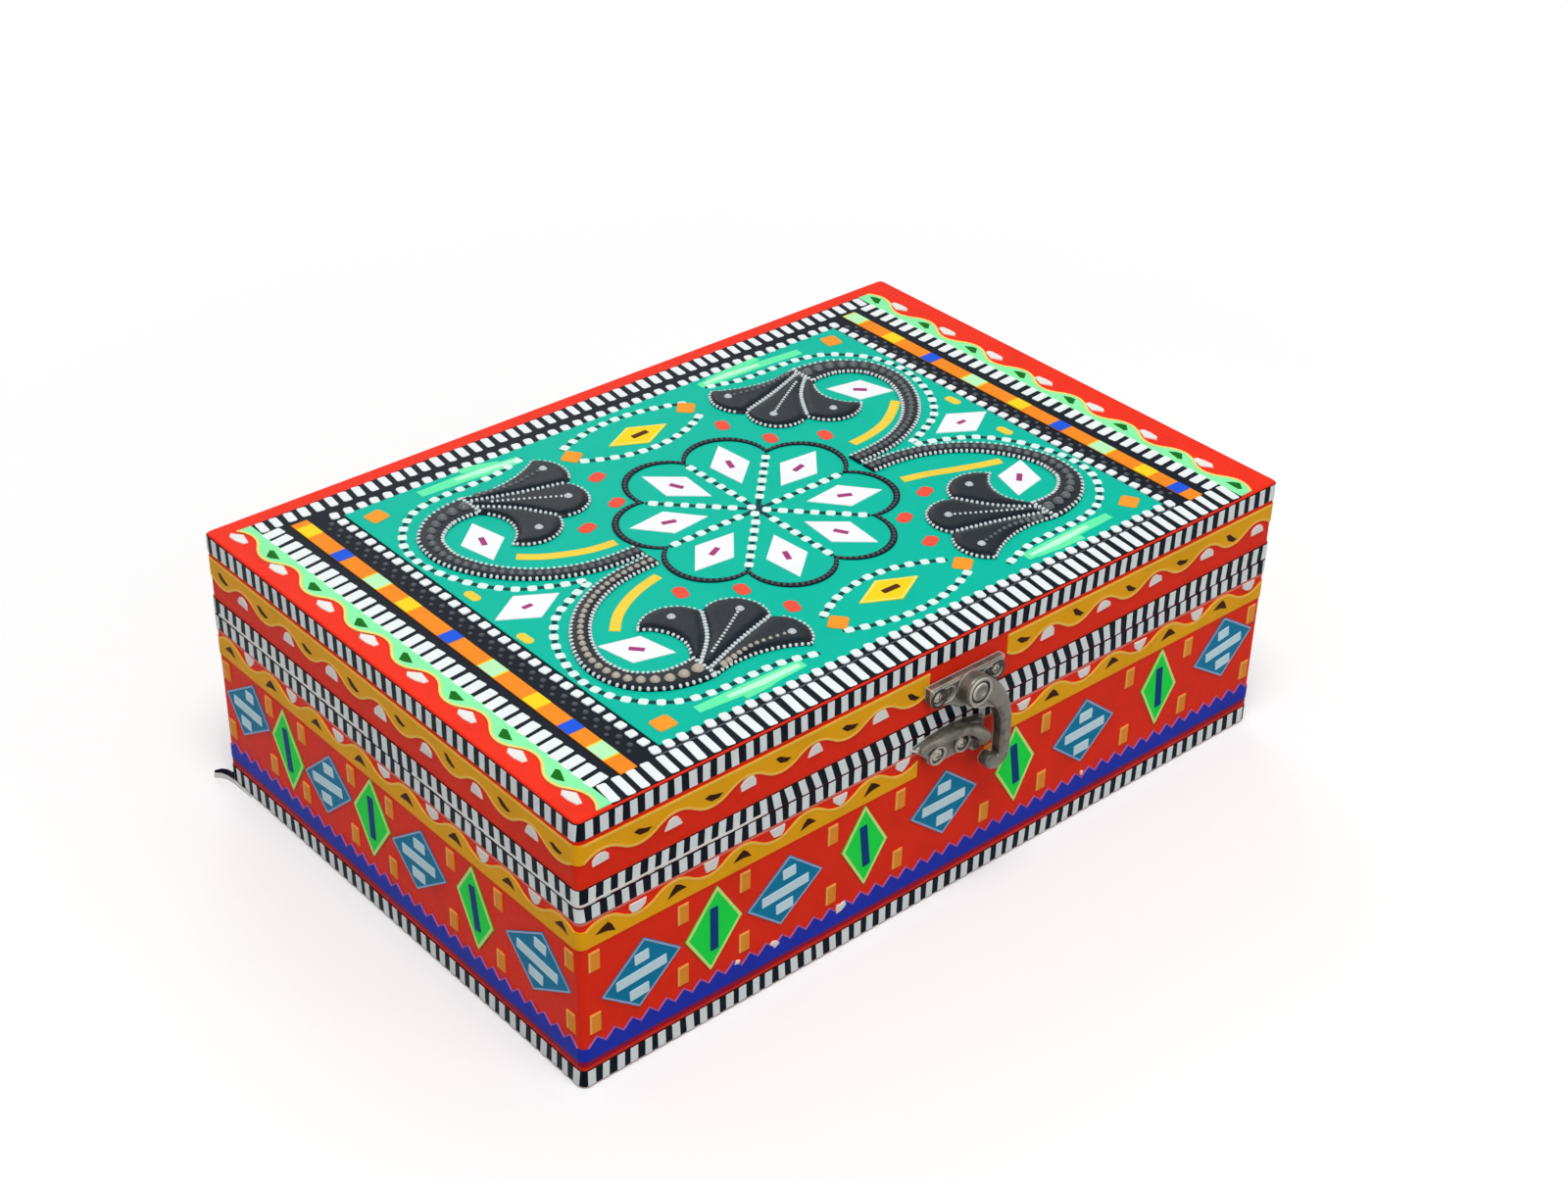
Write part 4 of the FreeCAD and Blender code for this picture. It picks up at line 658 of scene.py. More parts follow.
SCALLOP_HEIGHT = 1.8
SCALLOP_IN, SCALLOP_WIDE, SCALLOP_THICK = 0.3, 0.7, 0.09
MARK_OFF, DROP_ALONG = 1.0, 2.2
LEAF = [(-1.5, 0.5), (0.7, 2.5), (1.4, 1.6), (0.9, -0.7), (0.4, -2.6), (-0.9, -1.1)]
KITE = [(-1.5, 2.0), (-0.4, 3.2), (1.6, 0.3), (0.4, -3.3), (-0.9, -3.0), (-1.5, -0.5)]
mint_tape = tape("mint_tape", (146, 252, 178), 0.2)
dark_green = tape("dark_green_tape", (4, 112, 12), 0.3)
scallop_edge = tape("scallop_edge_tape", (255, 228, 120), 0.2)
dress(mint_tape, "lid_scallop_bands")
sheet_low, sheet_high = (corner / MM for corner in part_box("lid_black_sheet"))
band_low, band_high = (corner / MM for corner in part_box("lid_scallop_bands"))
sheet_middle = (sheet_low + sheet_high) / 2
half_run = (sheet_high.y - sheet_low.y) / 2


def on_top(layer):
    """Turns a point on the lid's top and its height over a layer of tape into a point in the frame."""
    return lambda x, y, out: Vector((x, y, TOP + layer * TAPE + out)) * MM


hand = random.Random(38)
edges, marks, drops = [], [], []
for end, reach in ((-1, sheet_middle.x - band_low.x), (1, band_high.x - sheet_middle.x)):
    line, scallops = wave_edge(-half_run, half_run, reach - SCALLOP_HEIGHT, end)
    edge_line = [(sheet_middle.x + end * (depth - SCALLOP_IN), sheet_middle.y - end * run)
                 for run, depth in line]
    edges.append(ribbon(edge_line, SCALLOP_WIDE, SCALLOP_THICK))
    mean = sheet_middle.x + end * (reach - SCALLOP_HEIGHT)
    half_turn = 0 if end < 0 else math.pi
    for run, swing in scallops:
        y = sheet_middle.y - end * run + drift(hand, 0.8)
        if swing > 0:
            mark = turned(LEAF, mean - end * MARK_OFF, y, drift(hand, 0.2) + half_turn)
            marks.append(snip(mark, LINE_THICK))
        else:
            drop = turned(KITE, mean + end * MARK_OFF, y + DROP_ALONG, drift(hand, 0.15) + half_turn)
            drops.append(snip(drop, DROP_THICK))
stick("lid_scallop_edges", edges, on_top(1), scallop_edge, "lid")
stick("lid_scallop_marks", marks, on_top(1), dark_green, "lid")
stick("lid_scallop_drops", drops, on_top(0), drop_tape, "lid")

# Black sheet of the top
# A black sheet frames the top. White bars lie across its long sides and its ends like ladders, a row of
# white squares runs round the edge of the field, and low grey beads are pressed in beside it.

DASH_PITCH = 4.05
LADDER_THICK, LADDER_WIDE, LADDER_LEAN = 0.12, 2.3, math.pi / 2 - 0.13
SQUARE_THICK, SQUARE_SHRINK = 0.33, 0.06
ROW_SQUARE, ROW_LEAN, ROW_CLIP = (2.9, 2.4), math.pi / 2 - 0.2, 0.2
SIDE_SQUARE, SIDE_LEAN, SIDE_CLIP = (2.4, 2.5), 0.08, 0.12
SLIP_ALONG, SLIP_ACROSS, SQUARE_TILT = 0.15, 0.12, 0.1
FOLD_OUT, FOLD_WIDE = 0.2, 0.5
SEAM_OUT, SEAM_WAVER, SEAM_RATE, SEAM_WIDE = 1.9, 0.15, 0.7, 0.5
SQUARE_OUT = {"front": 0.8, "back": 1.3, "left": 2.0, "right": 1.5}
FRONT_GAP, BACK_GAP, END_GAP, RUNG_GAP = 2.0, 4.2, 1.6, 1.8
BORDER_BEADS = ((2.7, 1.2, 0.8, 0.3), (4.4, -0.6, 0.6, 0.25))
BEAD_RINGS = ((1.0, 0.0), (0.88, 0.5), (0.5, 0.87))
dress(black_tape, "lid_black_sheet", "lid_flower_outline", "lid_scrolls")
pressed = tape("pressed_beads", (66, 72, 82), 0.3, 0.3, 0.2, 0.2)
field_low, field_high = (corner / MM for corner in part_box("lid_teal_field"))
FIELD = (field_low + field_high) / 2
left_row, right_row = field_low.x - SQUARE_OUT["left"], field_high.x + SQUARE_OUT["right"]
front_row, back_row = field_low.y - SQUARE_OUT["front"], field_high.y + SQUARE_OUT["back"]
front_in, back_in = front_row - FRONT_GAP, back_row + BACK_GAP


def bead(x, y, radius, tall, sides=8):
    """A small dome pressed into foil."""
    turns = [2 * math.pi * number / sides for number in range(sides)]
    rings = []
    for share, rise in BEAD_RINGS:
        rings.append([(x + radius * share * math.cos(turn), y + radius * share * math.sin(turn), tall * rise)
                      for turn in turns])
    points, faces = loft(rings)
    tip, start = len(points), len(points) - sides
    faces += [(start + number, start + (number + 1) % sides, tip) for number in range(sides)]
    return points + [(x, y, tall)], faces


def row(start, end):
    """Even places from start to end at the pitch of the barred tape."""
    count = round((end - start) / DASH_PITCH)
    return [start + number * (end - start) / count for number in range(count + 1)]


hand = random.Random(41)
ladder, squares, beads = [], [], []
for x in row(sheet_low.x + END_GAP, sheet_high.x - END_GAP):
    for start, end in ((sheet_low.y - 0.35, front_in), (back_in, sheet_high.y - 0.2)):
        lean = LADDER_LEAN + drift(hand, 0.04)
        ladder.append(bar(x + drift(hand, SLIP_ALONG), (start + end) / 2, end - start + hand.uniform(-0.3, 0.2),
                          LADDER_WIDE + drift(hand, SLIP_ALONG), lean, 0.15, LADDER_THICK))
for y in row(front_in + RUNG_GAP, back_in - RUNG_GAP):
    for x, length, width, lean, clip in ((sheet_low.x + 2.3, 5.4, 2.9, 0.12, 0.1),
                                         (sheet_high.x - 2.1, 4.8, 2.5, 0.08, 0.12)):
        ladder.append(bar(x, y + drift(hand, SLIP_ALONG), length, width + drift(hand, SLIP_ALONG),
                          lean + drift(hand, 0.03), clip, LADDER_THICK))
for x in row(left_row, right_row):
    for y in (front_row, back_row):
        squares.append(bar(x + drift(hand, SLIP_ALONG), y + drift(hand, SLIP_ACROSS), *ROW_SQUARE,
                           ROW_LEAN + drift(hand, SQUARE_TILT), ROW_CLIP, SQUARE_THICK, SQUARE_SHRINK))
for y in row(front_row, back_row)[1:-1]:
    for x, outwards in ((left_row, -1), (right_row, 1)):
        squares.append(bar(x + drift(hand, SLIP_ACROSS), y + drift(hand, SLIP_ALONG), *SIDE_SQUARE,
                           SIDE_LEAN + drift(hand, SQUARE_TILT), SIDE_CLIP, SQUARE_THICK, SQUARE_SHRINK))
        beads += [bead(x + off * outwards, y + up, radius, tall) for off, up, radius, tall in BORDER_BEADS]
fold_line = [(x, sheet_low.y - FOLD_OUT) for x in (sheet_low.x, sheet_middle.x, sheet_high.x)]
seam_line = [(x, front_row - SEAM_OUT + SEAM_WAVER * math.sin(SEAM_RATE * x)) for x in row(left_row, right_row)]
front_fold, seam = ribbon(fold_line, FOLD_WIDE, TAPE), ribbon(seam_line, SEAM_WIDE, LINE_PROUD)
stick("lid_front_fold", [front_fold], on_top(0), black_tape, "lid")
stick("lid_ladder_bars", ladder, on_top(1), white_tape, "lid")
stick("lid_border_squares", squares, on_top(1), white_tape, "lid")
stick("lid_border_beads", beads, on_top(1), pressed, "lid", True)
stick("lid_border_seam", [seam], on_top(1), pressed, "lid")

# Orange bands
# An orange band lies beside the ladder at each end, with yellow, blue and mint blocks stuck across it.
# The mint ones show a yellow edge where they overlap the band.

BAND_WIDE = 4.6
BLOCK_THICK, BLOCK_SHRINK, BLOCK_EDGE, BLOCK_EDGE_THICK = 0.1, 0.06, 0.5, 0.08
BLOCKS = {"yellow": 5.3, "blue": 4.3, "mint": 5.8}
LEFT_BLOCKS = [("yellow", 59.5), ("blue", 44.8), ("mint", 29.5), ("yellow", 16.3), ("blue", -1.4),
               ("mint", -18.3), ("yellow", -35.0), ("blue", -47.9), ("mint", -59.4)]
RIGHT_BLOCKS = [("mint", 61.2), ("yellow", 45.6), ("blue", 30.0), ("mint", 12.6), ("yellow", -4.8),
                ("blue", -20.3), ("mint", -35.6), ("yellow", -51.2), ("blue", -62.6)]
orange_tape = tape("orange_tape", (255, 146, 34), 0.25)
yellow_tape = tape("yellow_tape", (255, 222, 34), 0.2)
block_blue = tape("block_blue_tape", (30, 92, 232), 0.25)
block_mint = tape("block_mint_tape", (196, 255, 196), 0.2)
dress(orange_tape, "lid_orange_bands")
orange_low, orange_high = (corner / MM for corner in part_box("lid_orange_bands"))
blocks = {colour: [] for colour in BLOCKS}
block_edges = []
for middle, laid in ((orange_low.x + BAND_WIDE / 2, LEFT_BLOCKS),
                     (orange_high.x - BAND_WIDE / 2, RIGHT_BLOCKS)):
    for colour, y in laid:
        tall = BLOCKS[colour]
        blocks[colour].append(bar(middle, y, BAND_WIDE, tall, 0.0, 0.03, BLOCK_THICK, BLOCK_SHRINK))
        if colour == "mint":
            block_edges += [bar(middle, y + side * (tall / 2 + 0.2), BAND_WIDE, BLOCK_EDGE, 0.0, 0.1,
                                BLOCK_EDGE_THICK) for side in (-1, 1)]
for colour, material in (("yellow", yellow_tape), ("blue", block_blue), ("mint", block_mint)):
    stick(f"lid_{colour}_blocks", blocks[colour], on_top(2), material, "lid")
stick("lid_block_edges", block_edges, on_top(2), yellow_tape, "lid")

# Teal field
# The middle of the top is one sheet of teal tape, stuck down on the black one. Everything on it is cut
# separately and stuck on by hand.

teal_tape = tape("teal_tape", (0, 192, 166), 0.15)
dress(teal_tape, "lid_teal_field")


def on_field(layer):
    """Turns a point from the field's middle and its height over a layer of tape into a point in the frame."""
    place = on_top(layer)
    return lambda x, y, out: place(FIELD.x + x, FIELD.y + y, out)


# Flower
# An eight-lobed black outline, ribbed like a cord, holds white rhombi, each with a magenta dash. Narrow cuts
# of the barred tape run between them from the middle to the notches.

PETALS, NOTCH, TIP = 8, 29.7, 36.9
PETAL_TURN = 2 * math.pi / PETALS
SPOKE_START, SPOKE_END, SPOKE_FIRST = 2.0, 28.6, 4.4
RIB_RADIUS, RIB_TALL, RIB_PITCH = 0.55, 0.35, 1.5
MIDDLE_SQUARES = ((-0.6, 1.7), (1.7, -1.6), (-2.0, -1.3))
RHOMBUS_RADIUS, END_RHOMBUS = 23.4, 72.0
CURL = (63.1, 30.7)
CURL_TURNS = {(1, 1): -42.0, (-1, 1): 71.0, (-1, -1): -47.0, (1, -1): 43.0}
DASH_CLIP, DASH_THICK = 0.1, 0.08
PETAL_DASH, END_DASH, CURL_DASH = (3.9, 1.5), (2.8, 1.3), (3.8, 1.5)
CUT_WIDE, CUT_THICK, CUT_LONG, CUT_ACROSS, CUT_CLIP, CUT_TALL = 1.3, 0.08, 2.4, 2.3, 0.2, 0.16
snow_tape = tape("snow_tape", (252, 253, 255), 0.08)
magenta_tape = tape("magenta_tape", (172, 62, 128), 0.3)
deep_teal = tape("deep_teal_tape", (8, 66, 70), 0.3)
misty_tape = tape("misty_tape", (228, 251, 247), 0.12, 0.36)
dress(snow_tape, "lid_white_rhombi")


def polar(radius, turn):
    """A point at a distance and a turn from the middle."""
    return radius * math.cos(turn), radius * math.sin(turn)


def at_run(line, run):
    """Place and direction at a run along a line of points."""
    for (x, y), (x1, y1) in zip(line, line[1:]):
        length = math.hypot(x1 - x, y1 - y)
        if run <= length:
            break
        run -= length
    share = min(1.0, run / length)
    return x + (x1 - x) * share, y + (y1 - y) * share, math.atan2(y1 - y, x1 - x)


def line_length(line):
    """Length of a line of points."""
    return sum(math.hypot(x1 - x, y1 - y) for (x, y), (x1, y1) in zip(line, line[1:]))


def spaced(line, pitch, first=0.0):
    """Places and directions at an even pitch along a line of points."""
    count = int((line_length(line) - first) / pitch)
    return [at_run(line, first + number * pitch) for number in range(count + 1)]


def dashed(line, first, hand):
    """A narrow cut of the barred tape along a line: its dark ground and its white squares."""
    squares = [bar(x, y, CUT_LONG + drift(hand, 0.2), CUT_ACROSS, turn + drift(hand, 0.08), CUT_CLIP, CUT_TALL,
                   SQUARE_SHRINK) for x, y, turn in spaced(line, DASH_PITCH, first)]
    return ribbon(line, CUT_WIDE, CUT_THICK), squares


def arc_line(start, middle, end, steps=10):
    """Points along the arc from start through middle to end, without its last point."""
    a, b, c = Vector(start), Vector(middle), Vector(end)
    twice = 2 * (a.x * (b.y - c.y) + b.x * (c.y - a.y) + c.x * (a.y - b.y))
    aa, bb, cc = a.dot(a), b.dot(b), c.dot(c)
    x = (aa * (b.y - c.y) + bb * (c.y - a.y) + cc * (a.y - b.y)) / twice
    y = (aa * (c.x - b.x) + bb * (a.x - c.x) + cc * (b.x - a.x)) / twice
    turns = [math.atan2(spot.y - y, spot.x - x) for spot in (a, b, c)]
    sweep = (turns[2] - turns[0]) % (2 * math.pi)
    if (turns[1] - turns[0]) % (2 * math.pi) > sweep:
        sweep -= 2 * math.pi
    radius = math.hypot(a.x - x, a.y - y)
    return [(x + radius * math.cos(turns[0] + sweep * step / steps),
             y + radius * math.sin(turns[0] + sweep * step / steps)) for step in range(steps)]


hand = random.Random(51)
spokes, squares, ribs, dashes = [], [], [], []
for petal in range(PETALS):
    notch, peak, next_notch = ((petal + part) * PETAL_TURN for part in (0.0, 0.5, 1.0))
    ground, row_squares = dashed([polar(SPOKE_START, notch), polar(SPOKE_END, notch)], SPOKE_FIRST, hand)
    spokes.append(ground)
    squares += row_squares
    lobe = arc_line(polar(NOTCH, notch), polar(TIP, peak), polar(NOTCH, next_notch), 24)
    ribs += [bead(x, y, RIB_RADIUS, RIB_TALL) for x, y, _ in spaced(lobe, RIB_PITCH, 0.6)]
spokes.append(bar(0, 0, 5.0, 4.2, math.pi / 4, 0.3, 0.1))
squares += [bar(x, y, 2.6, 2.3, math.pi / 4, 0.25, 0.18) for x, y in MIDDLE_SQUARES]
for petal in range(PETALS):
    turn = (petal + 0.5) * PETAL_TURN
    dashes.append(bar(*polar(RHOMBUS_RADIUS, turn), *PETAL_DASH, turn + drift(hand, 0.15), DASH_CLIP,
                      DASH_THICK))
dashes += [bar(end * END_RHOMBUS, 0, *END_DASH, 0.0, DASH_CLIP, DASH_THICK) for end in (-1, 1)]
dashes += [bar(x_sign * CURL[0], y_sign * CURL[1], *CURL_DASH, math.radians(turn), DASH_CLIP, DASH_THICK)
           for (x_sign, y_sign), turn in CURL_TURNS.items()]
stick("lid_flower_spokes", spokes, on_field(2), deep_teal, "lid")
stick("lid_flower_squares", squares, on_field(2), misty_tape, "lid")
stick("lid_flower_ribs", ribs, on_field(3), pressed, "lid", True)
stick("lid_rhombus_dashes", dashes, on_field(3), magenta_tape, "lid")

# Yellow diamonds
# On each long side of the flower a yellow diamond with a brown dash lies in an eye of barred tape, with an
# orange square at each end of the eye and in each corner of the field.

DIAMOND_MIDDLE, DIAMOND_LONG, DIAMOND_WIDE = 48.9, 9.8, 5.1
EYE_MIDDLE, EYE_RISE, EYE_HALF, EYE_STEPS, EYE_FIRST = 50.5, 9.2, 20.6, 24, 1.6
INNER_SPREAD, OUTER_SPREAD = 24.5, 29.0
LEMON_RIM = (0.5, 0.55, LINE_THICK)
BROWN_DASH, BROWN_ASIDE, AMBER_SQUARE = (5.2, 1.7), 0.6, (5.3, 4.9)
AMBER = [(-19.0, -51.7, 0.7), (22.3, -51.5, 0.65), (-20.5, 50.8, 0.6), (19.5, 52.8, 0.8),
         (-76.6, -57.4, 0.0), (76.4, -57.0, 0.55), (-76.6, 57.4, 0.15), (76.6, 57.6, 1.4)]
brown_tape = tape("brown_tape", (88, 44, 12), 0.3)
amber_tape = tape("amber_tape", (255, 162, 48), 0.25)
lemon_tape = tape("lemon_tape", (255, 240, 120), 0.2)
dress(yellow_tape, "lid_yellow_diamonds")
eyes, eye_squares, brown, lemon = [], [], [], []
for side in (-1, 1):
    middle = Vector((0, side * DIAMOND_MIDDLE))
    brown.append(bar(BROWN_ASIDE, side * DIAMOND_MIDDLE, *BROWN_DASH, 0.04 * side, 0.15, DASH_THICK))
    tips = [middle + Vector(tip) for tip in ((DIAMOND_LONG, 0), (0, DIAMOND_WIDE),
                                             (-DIAMOND_LONG, 0), (0, -DIAMOND_WIDE))]
    lemon.append(rim(tips, middle, *LEMON_RIM))
    for outer, spread in ((1, OUTER_SPREAD), (-1, INNER_SPREAD)):
        places = [EYE_HALF * (2 * step / EYE_STEPS - 1) for step in range(EYE_STEPS + 1)]
        arch = [(x, side * (EYE_MIDDLE + outer * EYE_RISE * (1 - (x / spread) ** 2))) for x in places]
        ground, row_squares = dashed(arch, EYE_FIRST, hand)
        eyes.append(ground)
        eye_squares += row_squares
amber = [bar(x, y, *AMBER_SQUARE, turn, 0.12, 0.18) for x, y, turn in AMBER]
stick("lid_eye_lines", eyes, on_field(2), deep_teal, "lid")
stick("lid_eye_squares", eye_squares, on_field(2), misty_tape, "lid")
stick("lid_brown_dashes", brown, on_field(3), brown_tape, "lid")
stick("lid_lemon_edges", lemon, on_field(3), lemon_tape, "lid")
stick("lid_amber_squares", amber, on_field(2), amber_tape, "lid")

# Scrolls
# From each end of the flower two stems curl outwards to a fan of three leaves. They are embossed black foil:
# puffed leaves parted by beaded lines, fine beads along all edges, and round studs that grow along the stems.
# The paler studs of the front left quarter and the grey-white dot at each lobe's end are painted highlight.

START, REACH_X, REACH_Y = 34.2, 48.2, 63.2
STEM = [(0.03, 0.043), (0.245, 0.053), (0.432, 0.093), (0.608, 0.174), (0.749, 0.296), (0.834, 0.445),
        (0.826, 0.575), (0.768, 0.652), (0.66, 0.712), (0.546, 0.733), (0.448, 0.734)]
FAN = [(0.193, 0.791), (-0.081, 0.873), (-0.174, 0.747), (-0.087, 0.633), (-0.072, 0.464), (0.149, 0.441),
       (0.307, 0.328), (0.502, 0.394), (0.388, 0.525)]
STEM_START, STEM_END, STEM_GROWTH, STEM_TALL, STEM_INSIDE = 4.6, 9.2, 3, 0.5, 0.94
NET, SHOULDER, LEAF_TALL = 0.9, 2.4, 1.0
TICK_LONG, TICK_CLIP, TICK_PITCH, FIRST_TICK, TICK_OFF = 0.75, 0.25, 1.5, 0.8, 0.44
STUD_SHARE, STUD_PITCH, FIRST_STUD, STUD_STOP, STUD_SIDES = 0.19, 2.45, 1.2, 1.0, 12
SHEEN_DOTS = [(31.2, 49.0), (34.4, 33.8), (49.2, 26.2)]
QUARTERS = [(x_sign, y_sign) for x_sign in (-1, 1) for y_sign in (-1, 1)]
foil = tape("black_foil", (14, 26, 35), 0.5, 0.3, 0.3, 0.1)
bead_foil = tape("bead_foil", (226, 234, 236), 0.3, 0.3, 0.2, 0.1)
dark_stud = tape("dark_stud_foil", (98, 102, 106), 0.5, 0.3, 0.2, 0.3)
# Paler studs for the front left quarter only: painted highlight.
highlit_stud = tape("highlit_stud_foil", (184, 175, 160), 0.5, 0.3, 0.2, 0.3)
# Grey-white dot at each lobe's end: the foil's sheen, painted as a highlight.
painted_sheen_foil = tape("painted_sheen_foil", (196, 203, 208), 0.4, 0.3, 0.2, 0.3)


def scroll_point(share):
    """A point of the quarter at +X +Y of the field from its shares."""
    return START + share[0] * REACH_X, share[1] * REACH_Y


def smooth(points, steps):
    """A smooth line through points, with some steps between each two."""
    last = len(points) - 1
    line = []
    for number in range(last):
        near = [points[min(max(number + step, 0), last)] for step in (-1, 0, 1, 2)]
        for step in range(steps):
            t = step / steps
            line.append(tuple(0.5 * (2 * b + (c - a) * t + (2 * a - 5 * b + 4 * c - d) * t * t
                                     + (3 * b - a - 3 * c + d) * t ** 3) for a, b, c, d in zip(*near)))
    return line + [points[-1]]


def edge_distance(x, y, outline):
    """Distance of a point from a closed outline, and whether it lies inside."""
    nearest, inside = 1e9, False
    for (ax, ay), (bx, by) in zip(outline, outline[1:] + outline[:1]):
        dx, dy = bx - ax, by - ay
        share = min(1.0, max(0.0, ((x - ax) * dx + (y - ay) * dy) / max(dx * dx + dy * dy, 1e-9)))
        nearest = min(nearest, math.hypot(x - ax - share * dx, y - ay - share * dy))
        if (ay > y) != (by > y) and x < ax + (y - ay) / (by - ay) * dx:
            inside = not inside
    return nearest, inside


def puffed(outline):
    """A puffed leaf: its outline filled with a fine net that rises from the edge to a rounded crown."""
    spots = [Vector(point) for point in outline]
    edges = [(number, (number + 1) % len(spots)) for number in range(len(spots))]
    left, right = min(x for x, _ in outline), max(x for x, _ in outline)
    low, high = min(y for _, y in outline), max(y for _, y in outline)
    for line in range(int((high - low) / NET) + 1):
        for column in range(int((right - left) / NET) + 1):
            x, y = left + (column + 0.5 * (line % 2)) * NET, low + line * NET
            distance, inside = edge_distance(x, y, outline)
            if inside and distance > 0.5 * NET:
                spots.append(Vector((x, y)))
    verts, _, faces, *_ = delaunay_2d_cdt(spots, edges, [], 1, 1e-5)
    points = []
    for spot in verts:
        near = min(1.0, edge_distance(spot.x, spot.y, outline)[0] / SHOULDER)
        points.append((spot.x, spot.y, LEAF_TALL * math.sqrt(1 - (1 - near) ** 2)))
    return points, [tuple(face) for face in faces]


def quarter(shape, x_sign, y_sign):
    """A shape of the quarter at +X +Y, mirrored into another quarter."""
    points, faces = shape
    mirrored = faces if x_sign * y_sign > 0 else [face[::-1] for face in faces]
    return [(x * x_sign, y * y_sign, out) for x, y, out in points], mirrored


def stem_width(run):
    """Width of the stem at a run along it."""
    return STEM_START + (run / stem_run) ** STEM_GROWTH * (STEM_END - STEM_START)


def tick(x, y, turn, across, tall):
    """A short stroke pressed across a line of foil."""
    return bar(x, y, TICK_LONG, across, turn, TICK_CLIP, tall)


stem_line = smooth([scroll_point(share) for share in STEM], 6)
stem_run = line_length(stem_line)
runs = [line_length(stem_line[:number + 1]) for number in range(len(stem_line))]
foil_shapes = [ribbon(stem_line, [STEM_INSIDE * stem_width(run) for run in runs], STEM_TALL)]
ticks, studs = [], []
run = FIRST_TICK
while run < stem_run:
    x, y, turn = at_run(stem_line, run)
    for off in (-TICK_OFF * stem_width(run), TICK_OFF * stem_width(run)):
        ticks.append(tick(x - math.sin(turn) * off, y + math.cos(turn) * off, turn, 1.1, 0.62))
    run += TICK_PITCH
run = FIRST_STUD
while run < stem_run - STUD_STOP:
    x, y, _ = at_run(stem_line, run)
    radius = STUD_SHARE * stem_width(run)
    studs.append(bead(x, y, radius, 0.45 + 0.75 * radius, STUD_SIDES))
    run += STUD_PITCH * radius
tip_x, tip_y, _ = at_run(stem_line, stem_run)
outer_end, inner_end = (tip_x, tip_y + STEM_END / 2), (tip_x, tip_y - STEM_END / 2)
fork_outer, fork_inner = (tip_x - 1.4, tip_y + 1.5), (tip_x - 1.0, tip_y - 1.7)
fan = [scroll_point(share) for share in FAN]
dividers = [smooth([fork_outer, (43.0, 43.6), fan[3]], 8), smooth([fork_inner, (47.6, 37.6), fan[5]], 8)]
leaf_edges = [arc_line(outer_end, fan[0], fan[1]) + arc_line(fan[1], fan[2], fan[3]),
              arc_line(fan[3], fan[4], fan[5]),
              arc_line(fan[5], fan[6], fan[7]) + arc_line(fan[7], fan[8], inner_end)]
foil_shapes += [puffed(leaf_edges[0] + dividers[0][::-1]),
                puffed(dividers[0][:-1] + leaf_edges[1] + dividers[1][::-1]),
                puffed(dividers[1][:-1] + leaf_edges[2] + [inner_end])]
for edge in leaf_edges:
    ticks += [tick(x - 0.3 * math.sin(turn), y + 0.3 * math.cos(turn), turn, 1.0, 0.5)
              for x, y, turn in spaced(edge, 1.45, 0.3)]
for divider in dividers:
    ticks += [tick(x, y, turn, 1.25, 0.85) for x, y, turn in spaced(divider, 1.35, 0.5)]
ticks += [tick(tip_x - 0.5, tip_y + step, math.pi / 2, 1.3, 0.8)
          for step in (-3.9, -2.6, -1.3, 0.0, 1.3, 2.6, 3.9)]
stud_vein = smooth([(52.0, 48.9), (42.0, 47.4), SHEEN_DOTS[0]], 6)
tick_vein = smooth([(51.0, 43.6), (43.0, 39.0), SHEEN_DOTS[1]], 6)
studs += [bead(x, y, 1.15 - 0.05 * number, 1.5)
          for number, (x, y, _) in enumerate(spaced(stud_vein, 1.9)[:-1])]
ticks += [tick(x, y, turn, 0.9, 1.2) for x, y, turn in spaced(tick_vein, 1.35)[:-1]]
sheen_dots = [bead(x, y, 1.5, 1.6, STUD_SIDES) for x, y in SHEEN_DOTS]
for name, shapes, material, quarters in (
        ("lid_scroll_foil", foil_shapes, foil, QUARTERS), ("lid_scroll_ticks", ticks, bead_foil, QUARTERS),
        ("lid_sheen_dots", sheen_dots, painted_sheen_foil, QUARTERS),
        ("lid_highlit_studs", studs, highlit_stud, QUARTERS[:1]),
        ("lid_dark_studs", studs, dark_stud, QUARTERS[1:])):
    laid = [quarter(shape, *signs) for shape in shapes for signs in quarters]
    stick(name, laid, on_field(3), material, "lid", True)

# Small snips of the field
# A cut of the barred tape follows each scroll outside, and yellow, mint and red snips fill the gaps between
# the figures, each laid by eye. A paler stroke along the middle of each long mint stroke is painted highlight.

OUTER_LINE = [(54.0, 0.6), (59.0, 2.4), (67.0, 6.3), (71.5, 10.0), (76.3, 16.8), (79.4, 24.9), (80.6, 31.0),
              (80.5, 36.5), (78.7, 42.7), (74.0, 49.0), (68.0, 53.3), (60.0, 55.2), (51.0, 55.4),
              (43.5, 55.6), (38.5, 56.4), (31.0, 58.6)]
OCHRE_STRIPS = [[(-61.7, 17.5), (-57.0, 13.6), (-51.0, 10.5), (-45.0, 8.4), (-38.7, 7.5)],
                [(40.5, 7.5), (47.5, 8.2), (54.7, 10.3), (60.4, 13.6), (65.5, 17.5)],
                [(-63.3, -23.8), (-58.6, -19.0), (-52.8, -15.3), (-46.6, -12.8), (-40.3, -11.3)],
                [(37.7, -14.7), (44.6, -16.6), (51.3, -19.2), (58.2, -21.8), (64.7, -23.8)]]
OCHRE_DASHES = [(-80.3, 9.7), (-81.3, -13.0), (78.0, 8.0), (77.0, -13.0)]
RED_SNIPS = [(-22.8, 35.8, 20), (-26.7, 22.5, 25), (-40.0, 17.3, 15), (20.0, 36.7, 70), (25.5, 23.3, 75),
             (38.0, 15.5, 75), (-40.7, -20.5, 75), (-28.3, -28.7, 80), (-23.8, -42.0, 75), (38.2, -22.8, 20),
             (25.2, -29.0, 25), (22.5, -41.3, 25)]
